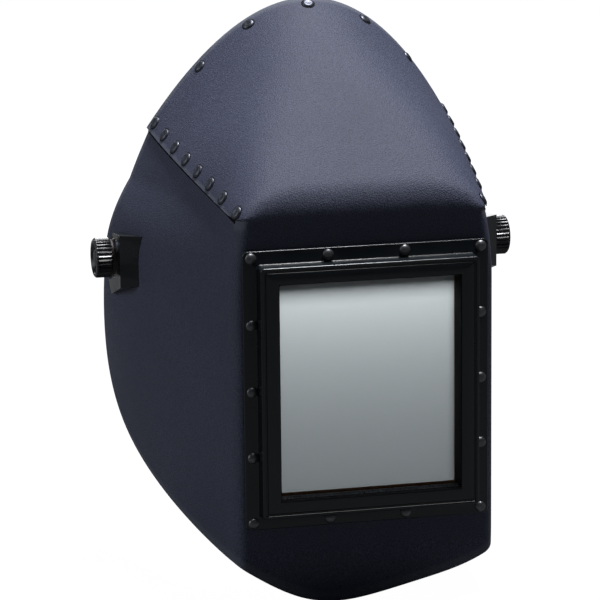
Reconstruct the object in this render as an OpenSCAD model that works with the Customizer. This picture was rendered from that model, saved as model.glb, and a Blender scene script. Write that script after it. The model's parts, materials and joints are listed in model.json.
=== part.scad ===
// Flip-up fibre-shell welding helmet with a framed plate window and a ratchet headgear.
// Frame: origin midway between the two tilt pivots, helmet faces -Y, +Z up, millimetres.

/* [Shell] */
// Half width of the shell at the front folds
front_half = 76.5; // [74:0.5:77]
// Distance from the pivot axis forward to the front panel
front_reach = 146; // [144:1:152]
// Extra half width that the side panels gain by the pivot axis
side_flare = 41; // [37:1:44]
// Thickness of the fibre sheet
sheet_t = 2; // [1.6:0.1:2]
// Height of the crown's rear edge above the pivot axis
crown_top = 152; // [146:1:156]
// Depth of the rounded chin below the side folds
chin_drop = 25; // [18:1:28]

/* [Window] */
// Width of the protective plates
plate_w = 114.3; // [112:0.1:116]
// Height of the protective plates
plate_h = 133.35; // [131:0.05:135]
// How far the frame's lip covers the plates on each side
lip = 4.8; // [4:0.1:5.4]
// Height of the window's centre against the pivot axis
window_z = -51.8; // [-54:0.1:-50]
// How far the raised bezel stands in front of the shell
bezel_out = 12; // [9:0.5:14]

/* [Pivots] */
// Diameter of the knurled friction knobs
knob_d = 24; // [22:1:26]
// Distance from the centre plane to the outer faces of the friction knobs
knob_reach = 128; // [127.5:0.5:131]
// Diameter of the pivot studs' shoulder
stud_d = 10; // [8:1:12]

/* [Headgear] */
// Width across the headband
band_w = 164; // [160:1:166]
// Length of the headband
band_l = 200; // [194:1:204]
// Height of the headband strip
band_h = 26; // [22:1:28]
// Angle of the headband, forehead end up
band_tilt = 15; // [12:1:16]

/* [Hidden] */
$fn = 48;
gap = 0.05;             // face gap between clamped pieces
fibre = "#2c3240";
moulding = "#15181c";
band_plastic = "#23262b";
steel = "#8d9298";

// ---- Shell surface: all places on it come from these functions ----
front_y = -front_reach;
fold_y = front_y + 8;                   // where the fold ends and the side panel starts
flat_half = front_half - 7;             // half width of the flat front
front_top = 45;                         // height where the front starts to fold into the crown
top_fold_r = 25;
crown_start = 39;                       // slope of the crown just above the fold, degrees
crown_end = 30;                         // slope of the crown at its rear edge, degrees
crown_rear_y = -14;
seam_rear = [8, 75.5];                  // (y, z) of the seam's rear end
seam_slope = 0.212;
fold_taper = 4.5;                       // how much narrower the folds get towards the seam
seam_flare = side_flare / 2;
cheek = [52, -72];                      // (y, z) of the rearmost point of the side panels
chin_corner = [fold_y, -153];
square_shoulder = 9;                    // how square the crown is at the front
round_shoulder = 2;                     // and at the rear
crown_off = 3.0;                        // crown edge's place outside the side panel
flap_span = 0.062;                      // share of the half arch that the inner flap reaches up
flap_gap = 0.8;                         // how far the flap's top edge leans inward

function mix(a, b, t) = a * (1 - t) + b * t;
function bez(a, b, c, d, t) =
    pow(1 - t, 3) * a + 3 * pow(1 - t, 2) * t * b + 3 * (1 - t) * t * t * c + pow(t, 3) * d;
function unit(v) = v / norm(v);
function seam_z(y) = seam_rear.y + seam_slope * (y - seam_rear.x);
function swell(t) = t * (1 - 0.12 * pow(max(t, 0), 3));
function fold_half(z) = front_half - fold_taper * pow(min(max((z - 5) / 40, 0), 1), 2);
function flare(y, z) = z >= 0
    ? side_flare - (side_flare - seam_flare) * pow(z / seam_z(y), 2)
    : side_flare * (1 - 0.5 * pow(z / 165, 2));
function side_x(y, z) = fold_half(z) + flare(y, z) * swell((y - fold_y) / -fold_y);
function side_point(y, z) = [side_x(y, z), y, z];

// Side panel outline as a four-sided patch in (y, z): c runs rear to front, v bottom to seam.
function side_patch(c, v) =
    let(d = [fold_y, seam_z(fold_y)],
        top = mix(seam_rear, d, c),
        front = mix(chin_corner, d, v),
        bottom = bez(cheek, cheek - [0, 38], chin_corner + [100, 6], chin_corner, c),
        rear = bez(cheek, cheek + [0, 24], seam_rear - [-4, 55], seam_rear, v))
    mix(bottom, top, v) + mix(rear, front, c)
    - mix(mix(cheek, seam_rear, v), mix(chin_corner, d, v), c);

// Plan of the front: fold_plan(0) is on the side panel, fold_plan(1) on the flat front.
function fold_plan(t) =
    let(run = side_flare / -fold_y * (fold_y - front_y))
    pow(1 - t, 2) * [front_half, fold_y] + 2 * t * (1 - t) * [front_half - run, front_y]
    + t * t * [flat_half, front_y];
function chin_z(x) = chin_corner.y - chin_drop * (1 - pow(min(abs(x) / front_half, 1), 2.1));
function front_point(p, v) =
    let(u = min(abs(p.x) / front_half, 1),
        z_top = mix(front_top, seam_z(fold_y), pow(u, square_shoulder)),
        z = mix(chin_z(p.x), z_top, v),
        curl = 4 * pow(max(-140 - z, 0) / 36, 2))
    [p.x * fold_half(z) / front_half, p.y + curl, z];

// Centre line of the crown in (y, z), s = 0 at the front fold and 1 at the rear edge.
fold_turn = 90 - crown_start;
fold_end = [front_y + top_fold_r * (1 - cos(fold_turn)), front_top + top_fold_r * sin(fold_turn)];
crown_rear = [crown_rear_y, crown_top];
crown_knee = let(d = crown_rear - fold_end,
        k = (d.x * sin(crown_end) - d.y * cos(crown_end)) / sin(crown_end - crown_start))
    fold_end + k * [cos(crown_start), sin(crown_start)];
fold_share = let(a = top_fold_r * fold_turn * PI / 180) a / (a + norm(crown_rear - fold_end));
function crown_line(s) = s < fold_share
    ? let(a = fold_turn * s / fold_share)
        [front_y + top_fold_r * (1 - cos(a)), front_top + top_fold_r * sin(a)]
    : let(t = (s - fold_share) / (1 - fold_share))
        pow(1 - t, 2) * fold_end + 2 * t * (1 - t) * crown_knee + t * t * crown_rear;

// The seam starts in the middle of the fold and runs to the rear edge.
corner_share = 0.045;
corner_slit = 2.6;                      // opening between crown and side at the corner
function seam_point(s) = s < corner_share
    ? let(p = fold_plan(0.5 * (1 - s / corner_share)), k = fold_half(seam_z(fold_y)) / front_half)
        [p.x * k, p.y, seam_z(fold_y)]
    : let(y = mix(fold_y, seam_rear.x, (s - corner_share) / (1 - corner_share)))
        side_point(y, seam_z(y));
function seam_share(y) = corner_share + (1 - corner_share) * (y - fold_y) / (seam_rear.x - fold_y);

// A point of the crown: k = 0 on the centre line, +-1 on the seams; off moves its edge outward.
function crown_point(s, k, off = crown_off) =
    let(e = seam_point(s), top = crown_line(s),
        power = round_shoulder + (square_shoulder - round_shoulder) * pow(1 - s, 3),
        m = pow(abs(k), power),
        ramp = min(2 * s / corner_share, 1),
        round = max(1 - s / corner_share, 0),
        slit = corner_slit * sin(180 * min(s / corner_share, 1)) * m)
    [k * (e.x + off * ramp), mix(top.x, e.y - off * ramp * round, m), mix(top.y, e.z, m) + slit];
function crown_normal(s, k) = let(d = 0.01)
    unit(cross(crown_point(s, min(k + d, 1.01)) - crown_point(s, k - d),
        crown_point(min(s + d, 1), k) - crown_point(s - d, k)));

// ---- Grids and closed sheets ----
side_n = 12;
fold_n = 4;
flat_n = 12;
rise_n = 12;
crown_n = 14;
face_n = 2 * fold_n + flat_n;
wide_n = 2 * side_n + face_n;
corner_i = side_n + fold_n / 2;         // column where the seam starts
corner_j = wide_n - corner_i;
function side_share(i) = i == side_n ? 1 : i == side_n - 1 ? 0.98 : 0.94 * i / (side_n - 2);
function face_plan(k) = k < fold_n ? fold_plan(k / fold_n)
    : let(q = 1 - 2 * (k - fold_n) / flat_n) [flat_half * (abs(q) == 1 ? q : 0.9 * q), front_y];
function flip(p) = [-p.x, p.y, p.z];
function half_point(i, j) = j > rise_n
    ? let(p = half_point(i, rise_n)) crown_point(seam_share(p.y), 1 - flap_span, -flap_gap)
    : i < side_n ? let(p = side_patch(side_share(i), j / rise_n)) side_point(p.x, p.y)
    : front_point(face_plan(i - side_n), j / rise_n);
function wide_point(i, j) = i < wide_n / 2 ? flip(half_point(i, j)) : half_point(wide_n - i, j);
function crown_step(j) = j <= 2 ? corner_share * j / 2
    : mix(corner_share, 1, (j - 2) / (crown_n - 2));
function crown_grid(i, j) = let(p = wide_point(corner_i + i, rise_n), q = wide_point(corner_i, rise_n))
    crown_point(crown_step(j), p.x / abs(q.x));
function grid_normal(g, i, j) =
    let(n = len(g) - 1, m = len(g[0]) - 1)
    unit(cross(g[min(i + 1, n)][j] - g[max(i - 1, 0)][j], g[i][min(j + 1, m)] - g[i][max(j - 1, 0)]));
function quad(a, b, c, d) = [[a, b, c], [a, c, d]];

// Closed sheet between two point grids of equal size; "up" faces out where i x j points out.
module sheet(outer, inner) {
    n = len(outer) - 1;
    m = len(outer[0]) - 1;
    w = m + 1;
    k = (n + 1) * w;
    function id(i, j) = i * w + j;
    polyhedron([for (g = [outer, inner]) for (row = g) each row], [
        for (i = [0:n - 1]) for (j = [0:m - 1])
            each quad(id(i, j), id(i, j + 1), id(i + 1, j + 1), id(i + 1, j)),
        for (i = [0:n - 1]) for (j = [0:m - 1])
            each quad(k + id(i, j), k + id(i + 1, j), k + id(i + 1, j + 1), k + id(i, j + 1)),
        for (i = [0:n - 1]) each quad(id(i, 0), id(i + 1, 0), k + id(i + 1, 0), k + id(i, 0)),
        for (i = [0:n - 1]) each quad(id(i + 1, m), id(i, m), k + id(i, m), k + id(i + 1, m)),
        for (j = [0:m - 1]) each quad(id(0, j + 1), id(0, j), k + id(0, j), k + id(0, j + 1)),
        for (j = [0:m - 1]) each quad(id(n, j), id(n, j + 1), k + id(n, j + 1), k + id(n, j))]);
}

// The folded blank: front and sides as one grid, their top flaps, and the crown as a second grid
// that grows from the front's top row. One loop of edges closes the two faces into a sheet.
module fibre_blank() {
    crown_wide = corner_j - corner_i;
    h = rise_n + 1;
    flap_0 = (wide_n + 1) * h;
    crown_0 = flap_0 + 2 * side_n;
    function at(i, j) = j <= rise_n ? i * h + j
        : i < side_n ? flap_0 + i
        : i > wide_n - side_n ? flap_0 + side_n + wide_n - i
        : i * h + rise_n;
    function up(i, j) = j == 0 ? at(corner_i + i, rise_n) : crown_0 + i * crown_n + j - 1;
    wide = [for (i = [0:wide_n]) [for (j = [0:rise_n + 1])
        j > rise_n && i >= side_n && i <= wide_n - side_n ? wide_point(i, rise_n) : wide_point(i, j)]];
    crown = [for (i = [0:crown_wide]) [for (j = [0:crown_n])
        j == 0 ? wide[corner_i + i][rise_n] : crown_grid(i, j)]];
    flap_cols = [for (i = [0:side_n - 1]) i, for (i = [0:side_n - 1]) wide_n - i];
    function inward(g, i, j) = g[i][j] - sheet_t * grid_normal(g, i, j);
    outer = [for (i = [0:wide_n]) for (j = [0:rise_n]) wide[i][j],
        for (i = flap_cols) wide[i][rise_n + 1],
        for (i = [0:crown_wide]) for (j = [1:crown_n]) crown[i][j]];
    inner = [for (i = [0:wide_n]) for (j = [0:rise_n])
            j == rise_n && i >= side_n && i <= wide_n - side_n
                ? wide[i][j] - sheet_t * grid_normal([for (c = wide) [for (q = [0:rise_n]) c[q]]], i, j)
                : inward(wide, i, j),
        for (i = flap_cols) inward(wide, i, rise_n + 1),
        for (i = [0:crown_wide]) for (j = [1:crown_n]) inward(crown, i, j)];
    k = len(outer);
    skin = [for (i = [0:wide_n - 1]) for (j = [0:rise_n - 1])
            each quad(at(i, j), at(i, j + 1), at(i + 1, j + 1), at(i + 1, j)),
        for (i = [0:side_n - 2]) for (c = [i, wide_n - 1 - i])
            each quad(at(c, rise_n), at(c, h), at(c + 1, h), at(c + 1, rise_n)),
        [at(side_n - 1, rise_n), at(side_n - 1, h), at(side_n, rise_n)],
        [at(wide_n - side_n, rise_n), at(wide_n - side_n + 1, h), at(wide_n - side_n + 1, rise_n)],
        for (i = [0:crown_wide - 1]) for (j = [0:crown_n - 1])
            each quad(up(i, j), up(i, j + 1), up(i + 1, j + 1), up(i + 1, j))];
    edge = [for (i = [0:wide_n]) at(i, 0), for (j = [1:rise_n]) at(wide_n, j),
        for (i = [0:side_n]) at(wide_n - i, h), for (i = [1:fold_n / 2]) at(wide_n - side_n - i, rise_n),
        for (j = [1:crown_n]) up(crown_wide, j), for (i = [1:crown_wide]) up(crown_wide - i, crown_n),
        for (j = [1:crown_n - 1]) up(0, crown_n - j), for (i = [0:fold_n / 2]) at(corner_i - i, rise_n),
        for (i = [1:side_n]) at(side_n - i, h), for (j = [0:rise_n - 1]) at(0, rise_n - j)];
    n = len(edge);
    polyhedron(concat(outer, inner), concat(skin, [for (f = skin) [k + f[0], k + f[2], k + f[1]]],
        [for (i = [0:n - 1]) let(a = edge[i], b = edge[(i + 1) % n]) each quad(a, b, k + b, k + a)]));
}

// ---- Shared shapes ----
// Places children at a point with their +Z along a direction.
module aim(at, n) translate(at) rotate([0, acos(n.z), atan2(n.y, n.x)]) children();
module left_side() mirror([1, 0, 0]) children();
module along_x(x) translate([x, 0, 0]) rotate([0, 90, 0]) children();

// Domed rivet along +Z: head on z = 0, closed end below the grip.
module rivet(head_d, shank_d, grip, tail_d) {
    dome = head_d * 0.22;
    rotate_extrude() polygon([[0, dome], [head_d * 0.28, dome * 0.88], [head_d * 0.42, dome * 0.5],
        [head_d / 2, 0], [shank_d / 2, 0], [shank_d / 2, -grip], [tail_d / 2, -grip],
        [tail_d * 0.42, -grip - 0.8], [0, -grip - 1]]);
}
module rounded_rect(w, h, r) {
    square([w - 2 * r, h], center = true);
    square([w, h - 2 * r], center = true);
    for (x = [-1, 1]) for (y = [-1, 1]) translate([x * (w / 2 - r), y * (h / 2 - r)]) circle(r);
}
// Flat piece in the window's plane, from y_back forward by t.
module window_plate(y_back, t) translate([0, y_back, window_z]) rotate([90, 0, 0]) linear_extrude(t) children();
module ring_2d(w, h, hole_w, hole_h, r) difference() {
    rounded_rect(w, h, r);
    square([hole_w, hole_h], center = true);
}
// Knurled disc outline: n ridges of the given depth on radius r.
module knurled_2d(r, n, depth) polygon([for (i = [0:n - 1]) for (q = [[0, 0], [0.3, 1], [0.6, 1], [0.9, 0]])
    let(a = 360 * (i + q.x) / n, k = r - depth * (1 - q.y)) k * [cos(a), sin(a)]]);

// ---- Places of the fasteners ----
rivet_shank = 3.4;
rivet_hole = 3.7;
seam_head = 7.6;
seam_ys = [for (i = [0:7]) fold_y + 4 + 19.4 * i];
seam_k = 0.965;                          // half arch share of the seam rivets
seam_grip = 6.6;
head_rise = 0.35;                        // seam heads stand off the curved sheet by this much
edge_s = 0.955;
edge_ks = [-0.69, -0.385, 0, 0.385, 0.69];
edge_grip = 5;
screw_w = plate_w + 19;
screw_h = plate_h + 19.05;
screws = [for (i = [0:3]) for (z = [-1, 1]) [screw_w * (i / 3 - 0.5), z * screw_h / 2],
    for (j = [1:3]) for (x = [-1, 1]) [x * screw_w / 2, screw_h * (j / 4 - 0.5)]];
block_pins = [[13, -12.5], [-14, 9.5]]; // (y, z) on each side panel

// ---- Window frame and plates, front to back ----
flange_t = 2.5;
hole_w = plate_w - 2 * lip;
hole_h = plate_h - 2 * lip;
box_w = plate_w + 7;
box_h = plate_h + 7;
lip_back = front_y + 1;                 // the plates rest against this face
box_back = front_y + 15;
bail_y = lip_back + 9.4;                // bail's hinge axis, also the height of its wire
bail_z = window_z - 64;
bail_d = 2.4;
bail_w = 90;
bail_h = 60;

module fibre_shell() color(fibre) difference() {
    fibre_blank();
    translate([0, front_y, window_z]) cube([box_w + 0.5, 20, box_h + 0.5], center = true);
    for (p = screws) translate([p.x, front_y - 5, window_z + p.y]) rotate([-90, 0, 0])
        cylinder(d = rivet_hole, h = 12);
    for (k = [-seam_k, seam_k]) for (y = seam_ys) let(s = seam_share(y))
        aim(crown_point(s, k), -crown_normal(s, k)) translate([0, 0, -2])
            cylinder(d = rivet_hole, h = seam_grip + 4);
    for (k = edge_ks) aim(crown_point(edge_s, k), -crown_normal(edge_s, k)) translate([0, 0, -2])
        cylinder(d = rivet_hole, h = edge_grip + 2);
    for (x = [-130, 90]) along_x(x) {
        cylinder(d = stud_d + 6, h = 40);
        for (q = block_pins) translate([-q.y, q.x, 0]) cylinder(d = 4.3, h = 40);
    }
}
module seam_rivet_row(side) color(steel) for (y = seam_ys) let(s = seam_share(y), k = side * seam_k)
    aim(crown_point(s, k) + head_rise * crown_normal(s, k), crown_normal(s, k))
        rivet(seam_head, rivet_shank, seam_grip, 5.4);
module seam_rivets_left() seam_rivet_row(-1);
module seam_rivets_right() seam_rivet_row(1);
module crown_rivets() color(steel) for (k = edge_ks)
    aim(crown_point(edge_s, k), crown_normal(edge_s, k)) rivet(7.2, rivet_shank, edge_grip, 5.4);

// Fibre strip that doubles the crown's rear edge on the inside.
module crown_stiffener() color(fibre) difference() {
    strip = [for (i = [0:16]) [for (j = [0:2]) let(s = 0.915 + 0.035 * j, k = 0.86 * (i / 8 - 1))
        [crown_point(s, k), crown_normal(s, k)]]];
    sheet([for (r = strip) [for (q = r) q[0] - (sheet_t + 0.9) * q[1]]],
        [for (r = strip) [for (q = r) q[0] - (sheet_t + 2.4) * q[1]]]);
    for (k = edge_ks) aim(crown_point(edge_s, k), -crown_normal(edge_s, k))
        cylinder(d = rivet_hole, h = 8);
}
module window_frame() color(moulding) difference() {
    union() {
        window_plate(front_y, flange_t) rounded_rect(plate_w + 28.3, plate_h + 27, 3);
        window_plate(front_y, bezel_out) rounded_rect(plate_w + 12.5, plate_h + 11, 2);
        window_plate(box_back, 15) rounded_rect(box_w, box_h, 2);
    }
    window_plate(lip_back + 5, 40) square([hole_w, hole_h], center = true);
    window_plate(box_back + 1, box_back + 1 - lip_back) square([plate_w + 1, plate_h + 1], center = true);
    for (p = screws) translate([p.x, front_y + 1, window_z + p.y]) rotate([90, 0, 0])
        cylinder(d = rivet_hole, h = flange_t + 2);
    for (x = [-1, 1]) translate([x * box_w / 2, bail_y, bail_z]) rotate([0, 90, 0])
        cylinder(d = bail_d + 0.1, h = 12, center = true);
}
module frame_rivets() color(steel) for (p = screws)
    translate([p.x, front_y - flange_t, window_z + p.y]) rotate([90, 0, 0])
        rivet(6.4, rivet_shank, flange_t + sheet_t + 2.85, 5.2);
module backing_frame() color(steel) difference() {
    window_plate(front_y + sheet_t + 2.75, 2.5)
        ring_2d(2 * flat_half - 0.8, plate_h + 25.4, box_w + 0.6, box_h + 0.6, 4);
    for (p = screws) translate([p.x, front_y, window_z + p.y]) rotate([-90, 0, 0])
        cylinder(d = rivet_hole, h = 10);
}
// Plate or gasket whose front face is d behind the lip.
module stacked(d, t) window_plate(lip_back + d + t, t) children();
module cover_plate() color("#cfe0e4") stacked(gap, 1.5) square([plate_w, plate_h], center = true);
module cover_gasket() color("#7a4a2c") stacked(1.6, 1)
    ring_2d(plate_w, plate_h, hole_w + 1, hole_h + 1, 1);
module filter_plate() color("#8f9598") stacked(2.65, 3.2) square([plate_w, plate_h], center = true);
module rear_gasket() color("#7a4a2c") stacked(5.9, 0.8)
    ring_2d(plate_w, plate_h, hole_w + 1, hole_h + 1, 1);
module inner_plate() color("#cfe0e4") stacked(6.75, 1.3) square([plate_w, plate_h], center = true);

// Wire bail that presses the stack; its ends turn in holes in the frame's side walls.
module plate_bail() color(steel) translate([0, bail_y, bail_z]) {
    for (x = [-1, 1]) {
        translate([x * bail_w / 2, 0, 0]) cylinder(d = bail_d, h = bail_h);
        translate([x * bail_w / 2, 0, 0]) rotate([0, 90 * x, 0]) cylinder(d = bail_d, h = (box_w - bail_w) / 2 - 1);
        for (z = [0, bail_h]) translate([x * bail_w / 2, 0, z]) sphere(d = bail_d);
    }
    translate([0, 0, bail_h]) rotate([0, 90, 0]) cylinder(d = bail_d, h = bail_w, center = true);
}

// ---- Tilt pivots; the right one is drawn and mirrored ----
block_face = 116;                       // outer face of the pivot blocks
block_top = [[-20.5, 16.5], [0, 14.5], [17, 4], [17, -18], [9, -24.3], [-20.5, -15]];  // (y, z) there
block_foot = [[-33, 17.5], [0, 15.5], [18, 4.5], [18, -18.5], [9.5, -25.3], [-33, -11.5]];
pad_face = 105.9;                       // inner face of the pivot pads
pad_d = 24;
arm_x = 101.6;
arm_t = 2;
washer_d = 24;
outer_washer_t = 2;
knob_back = block_face + outer_washer_t + 2 * gap;
thread_d = 6;
spring_d = 15;

// Slab between the side panel, shifted by off, and the plane x = limit.
module side_slab(off, limit, reach, n) {
    panel = [for (i = [0:n]) [for (j = [0:n]) let(y = reach * (2 * i / n - 1), z = reach * (2 * j / n - 1))
        [side_x(y, z) + off, y, z]]];
    flat = [for (r = panel) [for (q = r) [limit, q.y, q.z]]];
    if (limit > panel[0][0].x) sheet(flat, panel);
    else sheet(panel, flat);
}
// Thin slice of the block in (y, z) at x.
module block_slice(x, outline) translate([x, 0, 0]) rotate([90, 0, 90]) linear_extrude(0.01) polygon(outline);
module pivot_block() color(moulding) difference() {
    intersection() {
        side_slab(0.25, block_face + 10, 33, 8);
        hull() {
            block_slice(104, block_foot);
            block_slice(block_face - 0.01, block_top);
        }
    }
    along_x(80) cylinder(d = stud_d + 0.1, h = 60);
    for (q = block_pins) translate([80, q.x, q.y]) rotate([0, 90, 0]) cylinder(d = 4.2, h = 60);
}
module pivot_pad() color(moulding) difference() {
    intersection() {
        side_slab(-sheet_t - 0.8, pad_face - 5, 16, 6);
        along_x(pad_face) cylinder(d = pad_d, h = 20);
    }
    along_x(80) cylinder(d = stud_d + 0.1, h = 60);
}
module pin_pair() for (q = block_pins) {
    tail = side_x(q.x, q.y) - sheet_t - 1.6;
    translate([block_face + gap, q.x, q.y]) rotate([0, 90, 0]) rivet(7.4, 4, block_face + gap - tail, 7);
}
module pivot_stud() color(steel) {
    along_x(arm_x - gap - 2.3) cylinder(d = 15, h = 2.3);
    headgear() translate([arm_x - 1, -4, -4]) cube([arm_t + 0.9, 8, 8]);
    along_x(arm_x + arm_t) cylinder(d = stud_d, h = knob_back - gap - arm_x - arm_t);
    along_x(arm_x - 1) cylinder(d = thread_d, h = knob_reach - 2.5 - arm_x);
}
module washer(x, d, bore, t) along_x(x) difference() {
    cylinder(d = d, h = t);
    translate([0, 0, -1]) cylinder(d = bore, h = t + 2);
}
module inner_washer() color("#5a3b28")
    washer(arm_x + arm_t + gap, washer_d, stud_d + 0.1, pad_face - arm_x - arm_t - 2 * gap);
module outer_washer() color(steel) washer(block_face + gap, 21, stud_d + 0.1, outer_washer_t);
// Conical spring washer inside the knob.
module spring_washer() color(steel) along_x(knob_back) rotate_extrude()
    polygon([[thread_d / 2 + 0.3, 1], [spring_d / 2, 0], [spring_d / 2, 0.7], [thread_d / 2 + 0.3, 1.7]]);
module friction_knob() color(moulding) {
    length = knob_reach - knob_back;
    along_x(knob_back) difference() {
        union() {
            linear_extrude(length - 1) knurled_2d(knob_d / 2, 32, 0.7);
            cylinder(d1 = knob_d - 1.4, d2 = knob_d - 3, h = length);
        }
        translate([0, 0, -1]) cylinder(d = spring_d + 1, h = 3);
        translate([0, 0, -1]) cylinder(d = thread_d + 0.1, h = length - 1.5);
        translate([0, 0, length - 2.6]) difference() {
            cylinder(d = knob_d - 6, h = 4);
            translate([0, 0, -1]) cylinder(d = knob_d - 14, h = 6);
        }
    }
}

// ---- Headgear, in its own tilted frame; theta is 0 at the forehead and 180 at the nape ----
band_y = 6;                             // centre of the head oval
band_low = -2;
band_t = 2;
nape_z = band_low + band_h / 2;
module headgear() rotate([-band_tilt, 0, 0]) children();
function oval(theta, inset = 0) = [(band_w / 2 - inset) * sin(theta), band_y - (band_l / 2 - inset) * cos(theta)];
function oval_normal(theta) = unit([sin(theta) / band_w, -cos(theta) / band_l]);
// Upright strip along the head oval between two angles, starting inset below the oval.
module oval_strip(a, b, inset, t, low, high) {
    n = ceil(abs(b - a) / 6);
    translate([0, 0, low]) linear_extrude(high - low) polygon([
        for (i = [0:n]) oval(mix(a, b, i / n), inset), for (i = [0:n]) oval(mix(b, a, i / n), inset + t)]);
}
// Children point outward from the head oval at theta.
module on_oval(theta, z, inset = 0) let(p = oval(theta, inset), n = oval_normal(theta))
    aim([p.x, p.y, z], [n.x, n.y, 0]) children();
arm_theta = [52, 59];
join_theta = [104, 110];
strap_y = 8;
strap_w = 16;
strap_t = 1.6;
strap_in = band_w / 2 + 0.15;
strap_rise = 64;
strap_foot = band_low + band_h;

module front_band() color(band_plastic) headgear() difference() {
    oval_strip(-115, 115, 0, band_t, band_low, band_low + band_h);
    for (m = [-1, 1]) {
        for (a = concat(arm_theta, join_theta)) on_oval(m * a, nape_z - 5) cylinder(d = 4.2, h = 12, center = true);
        translate([0, strap_y, nape_z]) rotate([0, 90 * m, 0]) cylinder(d = 4.2, h = 90);
    }
}
module sweatband() color("#4a4038") headgear() oval_strip(-75, 75, band_t + 1.3, 5, band_low - 1, band_low + band_h + 1);
module side_arm() color(band_plastic) headgear() difference() {
    line = concat([for (a = [46:4:62]) oval(a, -0.1)], [[arm_x, -14], [arm_x, 15]]);
    intersection() {
        translate([0, 0, -13]) linear_extrude(26) polygon(concat(line,
            [[arm_x + arm_t, 15], [arm_x + arm_t, -14.8], for (a = [62:-4:46]) oval(a, -0.1 - arm_t)]));
        union() {
            along_x(50) cylinder(r = 14, h = 80);
            translate([30, -90, -20]) cube([100, 90, 40]);
        }
    }
    translate([arm_x - 2, -4.05, -4.05]) cube([8, 8.1, 8.1]);
    for (a = arm_theta) on_oval(a, nape_z - 5) cylinder(d = 4.2, h = 12, center = true);
}
module arm_rivets() color(steel) headgear() for (m = [0, 1]) mirror([m, 0, 0]) for (a = arm_theta)
    on_oval(a, nape_z - 5) translate([0, 0, arm_t + 0.25]) rivet(7, 4, arm_t + band_t + 0.4, 4.4);
module rear_band() color(band_plastic) headgear() difference() {
    oval_strip(97, 157, band_t + 0.1, band_t, band_low + 2, band_low + band_h - 2);
    for (a = join_theta) on_oval(a, nape_z - 5) cylinder(d = 4.2, h = 12, center = true);
}
module band_rivets() color(steel) headgear() for (m = [0, 1]) mirror([m, 0, 0]) for (a = join_theta)
    on_oval(a, nape_z - 5) translate([0, 0, 0.1]) rivet(7, 4, 2 * band_t + 0.5, 6);
// Half of the crown strap: a foot on the band, then an arch over the head up to angle top.
module strap_half(top, extra) {
    inner = [[strap_in, strap_foot - 18], for (i = [0:16]) let(a = top * i / 16)
        [strap_in * cos(a), strap_foot + (strap_rise + extra) * sin(a)]];
    outer = [for (i = [16:-1:0]) let(a = top * i / 16)
        [(strap_in + strap_t) * cos(a), strap_foot + (strap_rise + extra + strap_t) * sin(a)],
        [strap_in + strap_t, strap_foot - 18]];
    translate([0, strap_y + strap_w / 2, 0]) rotate([90, 0, 0]) linear_extrude(strap_w) polygon(concat(inner, outer));
}
module strap_holes() {
    translate([60, strap_y, nape_z]) rotate([0, 90, 0]) cylinder(d = 4.2, h = 40);
    translate([0, strap_y, strap_foot + 40]) cylinder(d = 4.2, h = 40);
}
module crown_strap_right() color(band_plastic) headgear() difference() {
    strap_half(104, 0);
    strap_holes();
}
module crown_strap_left() color(band_plastic) headgear() left_side() difference() {
    strap_half(104, strap_t + 0.4);
    strap_holes();
}
module strap_buttons() color(steel) headgear() {
    for (m = [0, 1]) mirror([m, 0, 0]) translate([strap_in + strap_t + gap, strap_y, nape_z])
        rotate([0, 90, 0]) rivet(8, 4, band_t + strap_t + 0.5, 6);
    translate([0, strap_y, strap_foot + strap_rise + 2 * strap_t + 0.5]) rivet(9, 4, 2 * strap_t + 0.8, 7);
}

// Ratchet at the nape. The pinion turns about y' at height nape_z between the two racks.
pitch_r = 5;
teeth = 10;
tooth_w = 1.2;
rack_y = band_y + band_l / 2 - 7.9;
rack_t = 2;
house_w = 52;
house_back = rack_y + 4.9;
cover_t = 2;
module rack(side) {
    reach = 36;
    translate([0, rack_y, nape_z]) {
        translate([side > 0 ? -14 : -reach, 0, side > 0 ? -10 : 6.6]) cube([reach + 14, rack_t, 3.4]);
        for (i = [-3:2]) translate([PI * (i + 0.5) - tooth_w / 2, 0, side > 0 ? -7 : 4.2]) cube([tooth_w, rack_t, 2.8]);
    }
}
module rack_left() color(band_plastic) headgear() rack(-1);
module rack_right() color(band_plastic) headgear() rack(1);
module ratchet_housing() color(moulding) headgear() difference() {
    translate([-house_w / 2, rack_y - 2.1, nape_z - 13]) cube([house_w, 7, 26]);
    translate([-house_w, rack_y - 0.2, nape_z - 10.4]) cube([2 * house_w, 8, 20.8]);
    translate([0, rack_y - 5, nape_z]) rotate([-90, 0, 0]) cylinder(d = 4.1, h = 10);
    for (x = [-1, 1]) for (z = [-1, 1]) translate([x * 22, rack_y, nape_z + z * 11.7]) rotate([-90, 0, 0])
        cylinder(d = 1.9, h = 10);
}
module ratchet_cover() color(moulding) headgear() difference() {
    translate([-house_w / 2, house_back + gap, nape_z - 13]) cube([house_w, cover_t, 26]);
    translate([0, house_back - 1, nape_z]) rotate([-90, 0, 0]) cylinder(d = 8.1, h = 8);
    for (x = [-1, 1]) for (z = [-1, 1]) translate([x * 22, rack_y, nape_z + z * 11.7]) rotate([-90, 0, 0])
        cylinder(d = 1.9, h = 10);
}
module housing_screws() color(steel) headgear() for (x = [-1, 1]) for (z = [-1, 1])
    translate([x * 22, house_back + cover_t + 2 * gap, nape_z + z * 11.7]) rotate([-90, 0, 0]) {
        translate([0, 0, -cover_t - 3.8]) cylinder(d = 1.8, h = cover_t + 3.9);
        cylinder(d = 3.6, h = 1.1);
    }
module pinion() color(band_plastic) headgear() translate([0, rack_y, nape_z]) rotate([-90, 0, 0]) {
    translate([0, 0, 0.1]) linear_extrude(1.8) {
        circle(r = pitch_r - 1.4);
        for (i = [0:teeth - 1]) rotate(360 * (i + 0.5) / teeth) translate([0, -tooth_w / 2]) square([pitch_r + 0.8, tooth_w]);
    }
    translate([0, 0, -1.8]) cylinder(d = 4, h = 2);
    translate([0, 0, 1.8]) cylinder(d = 8, h = 7);
}
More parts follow.
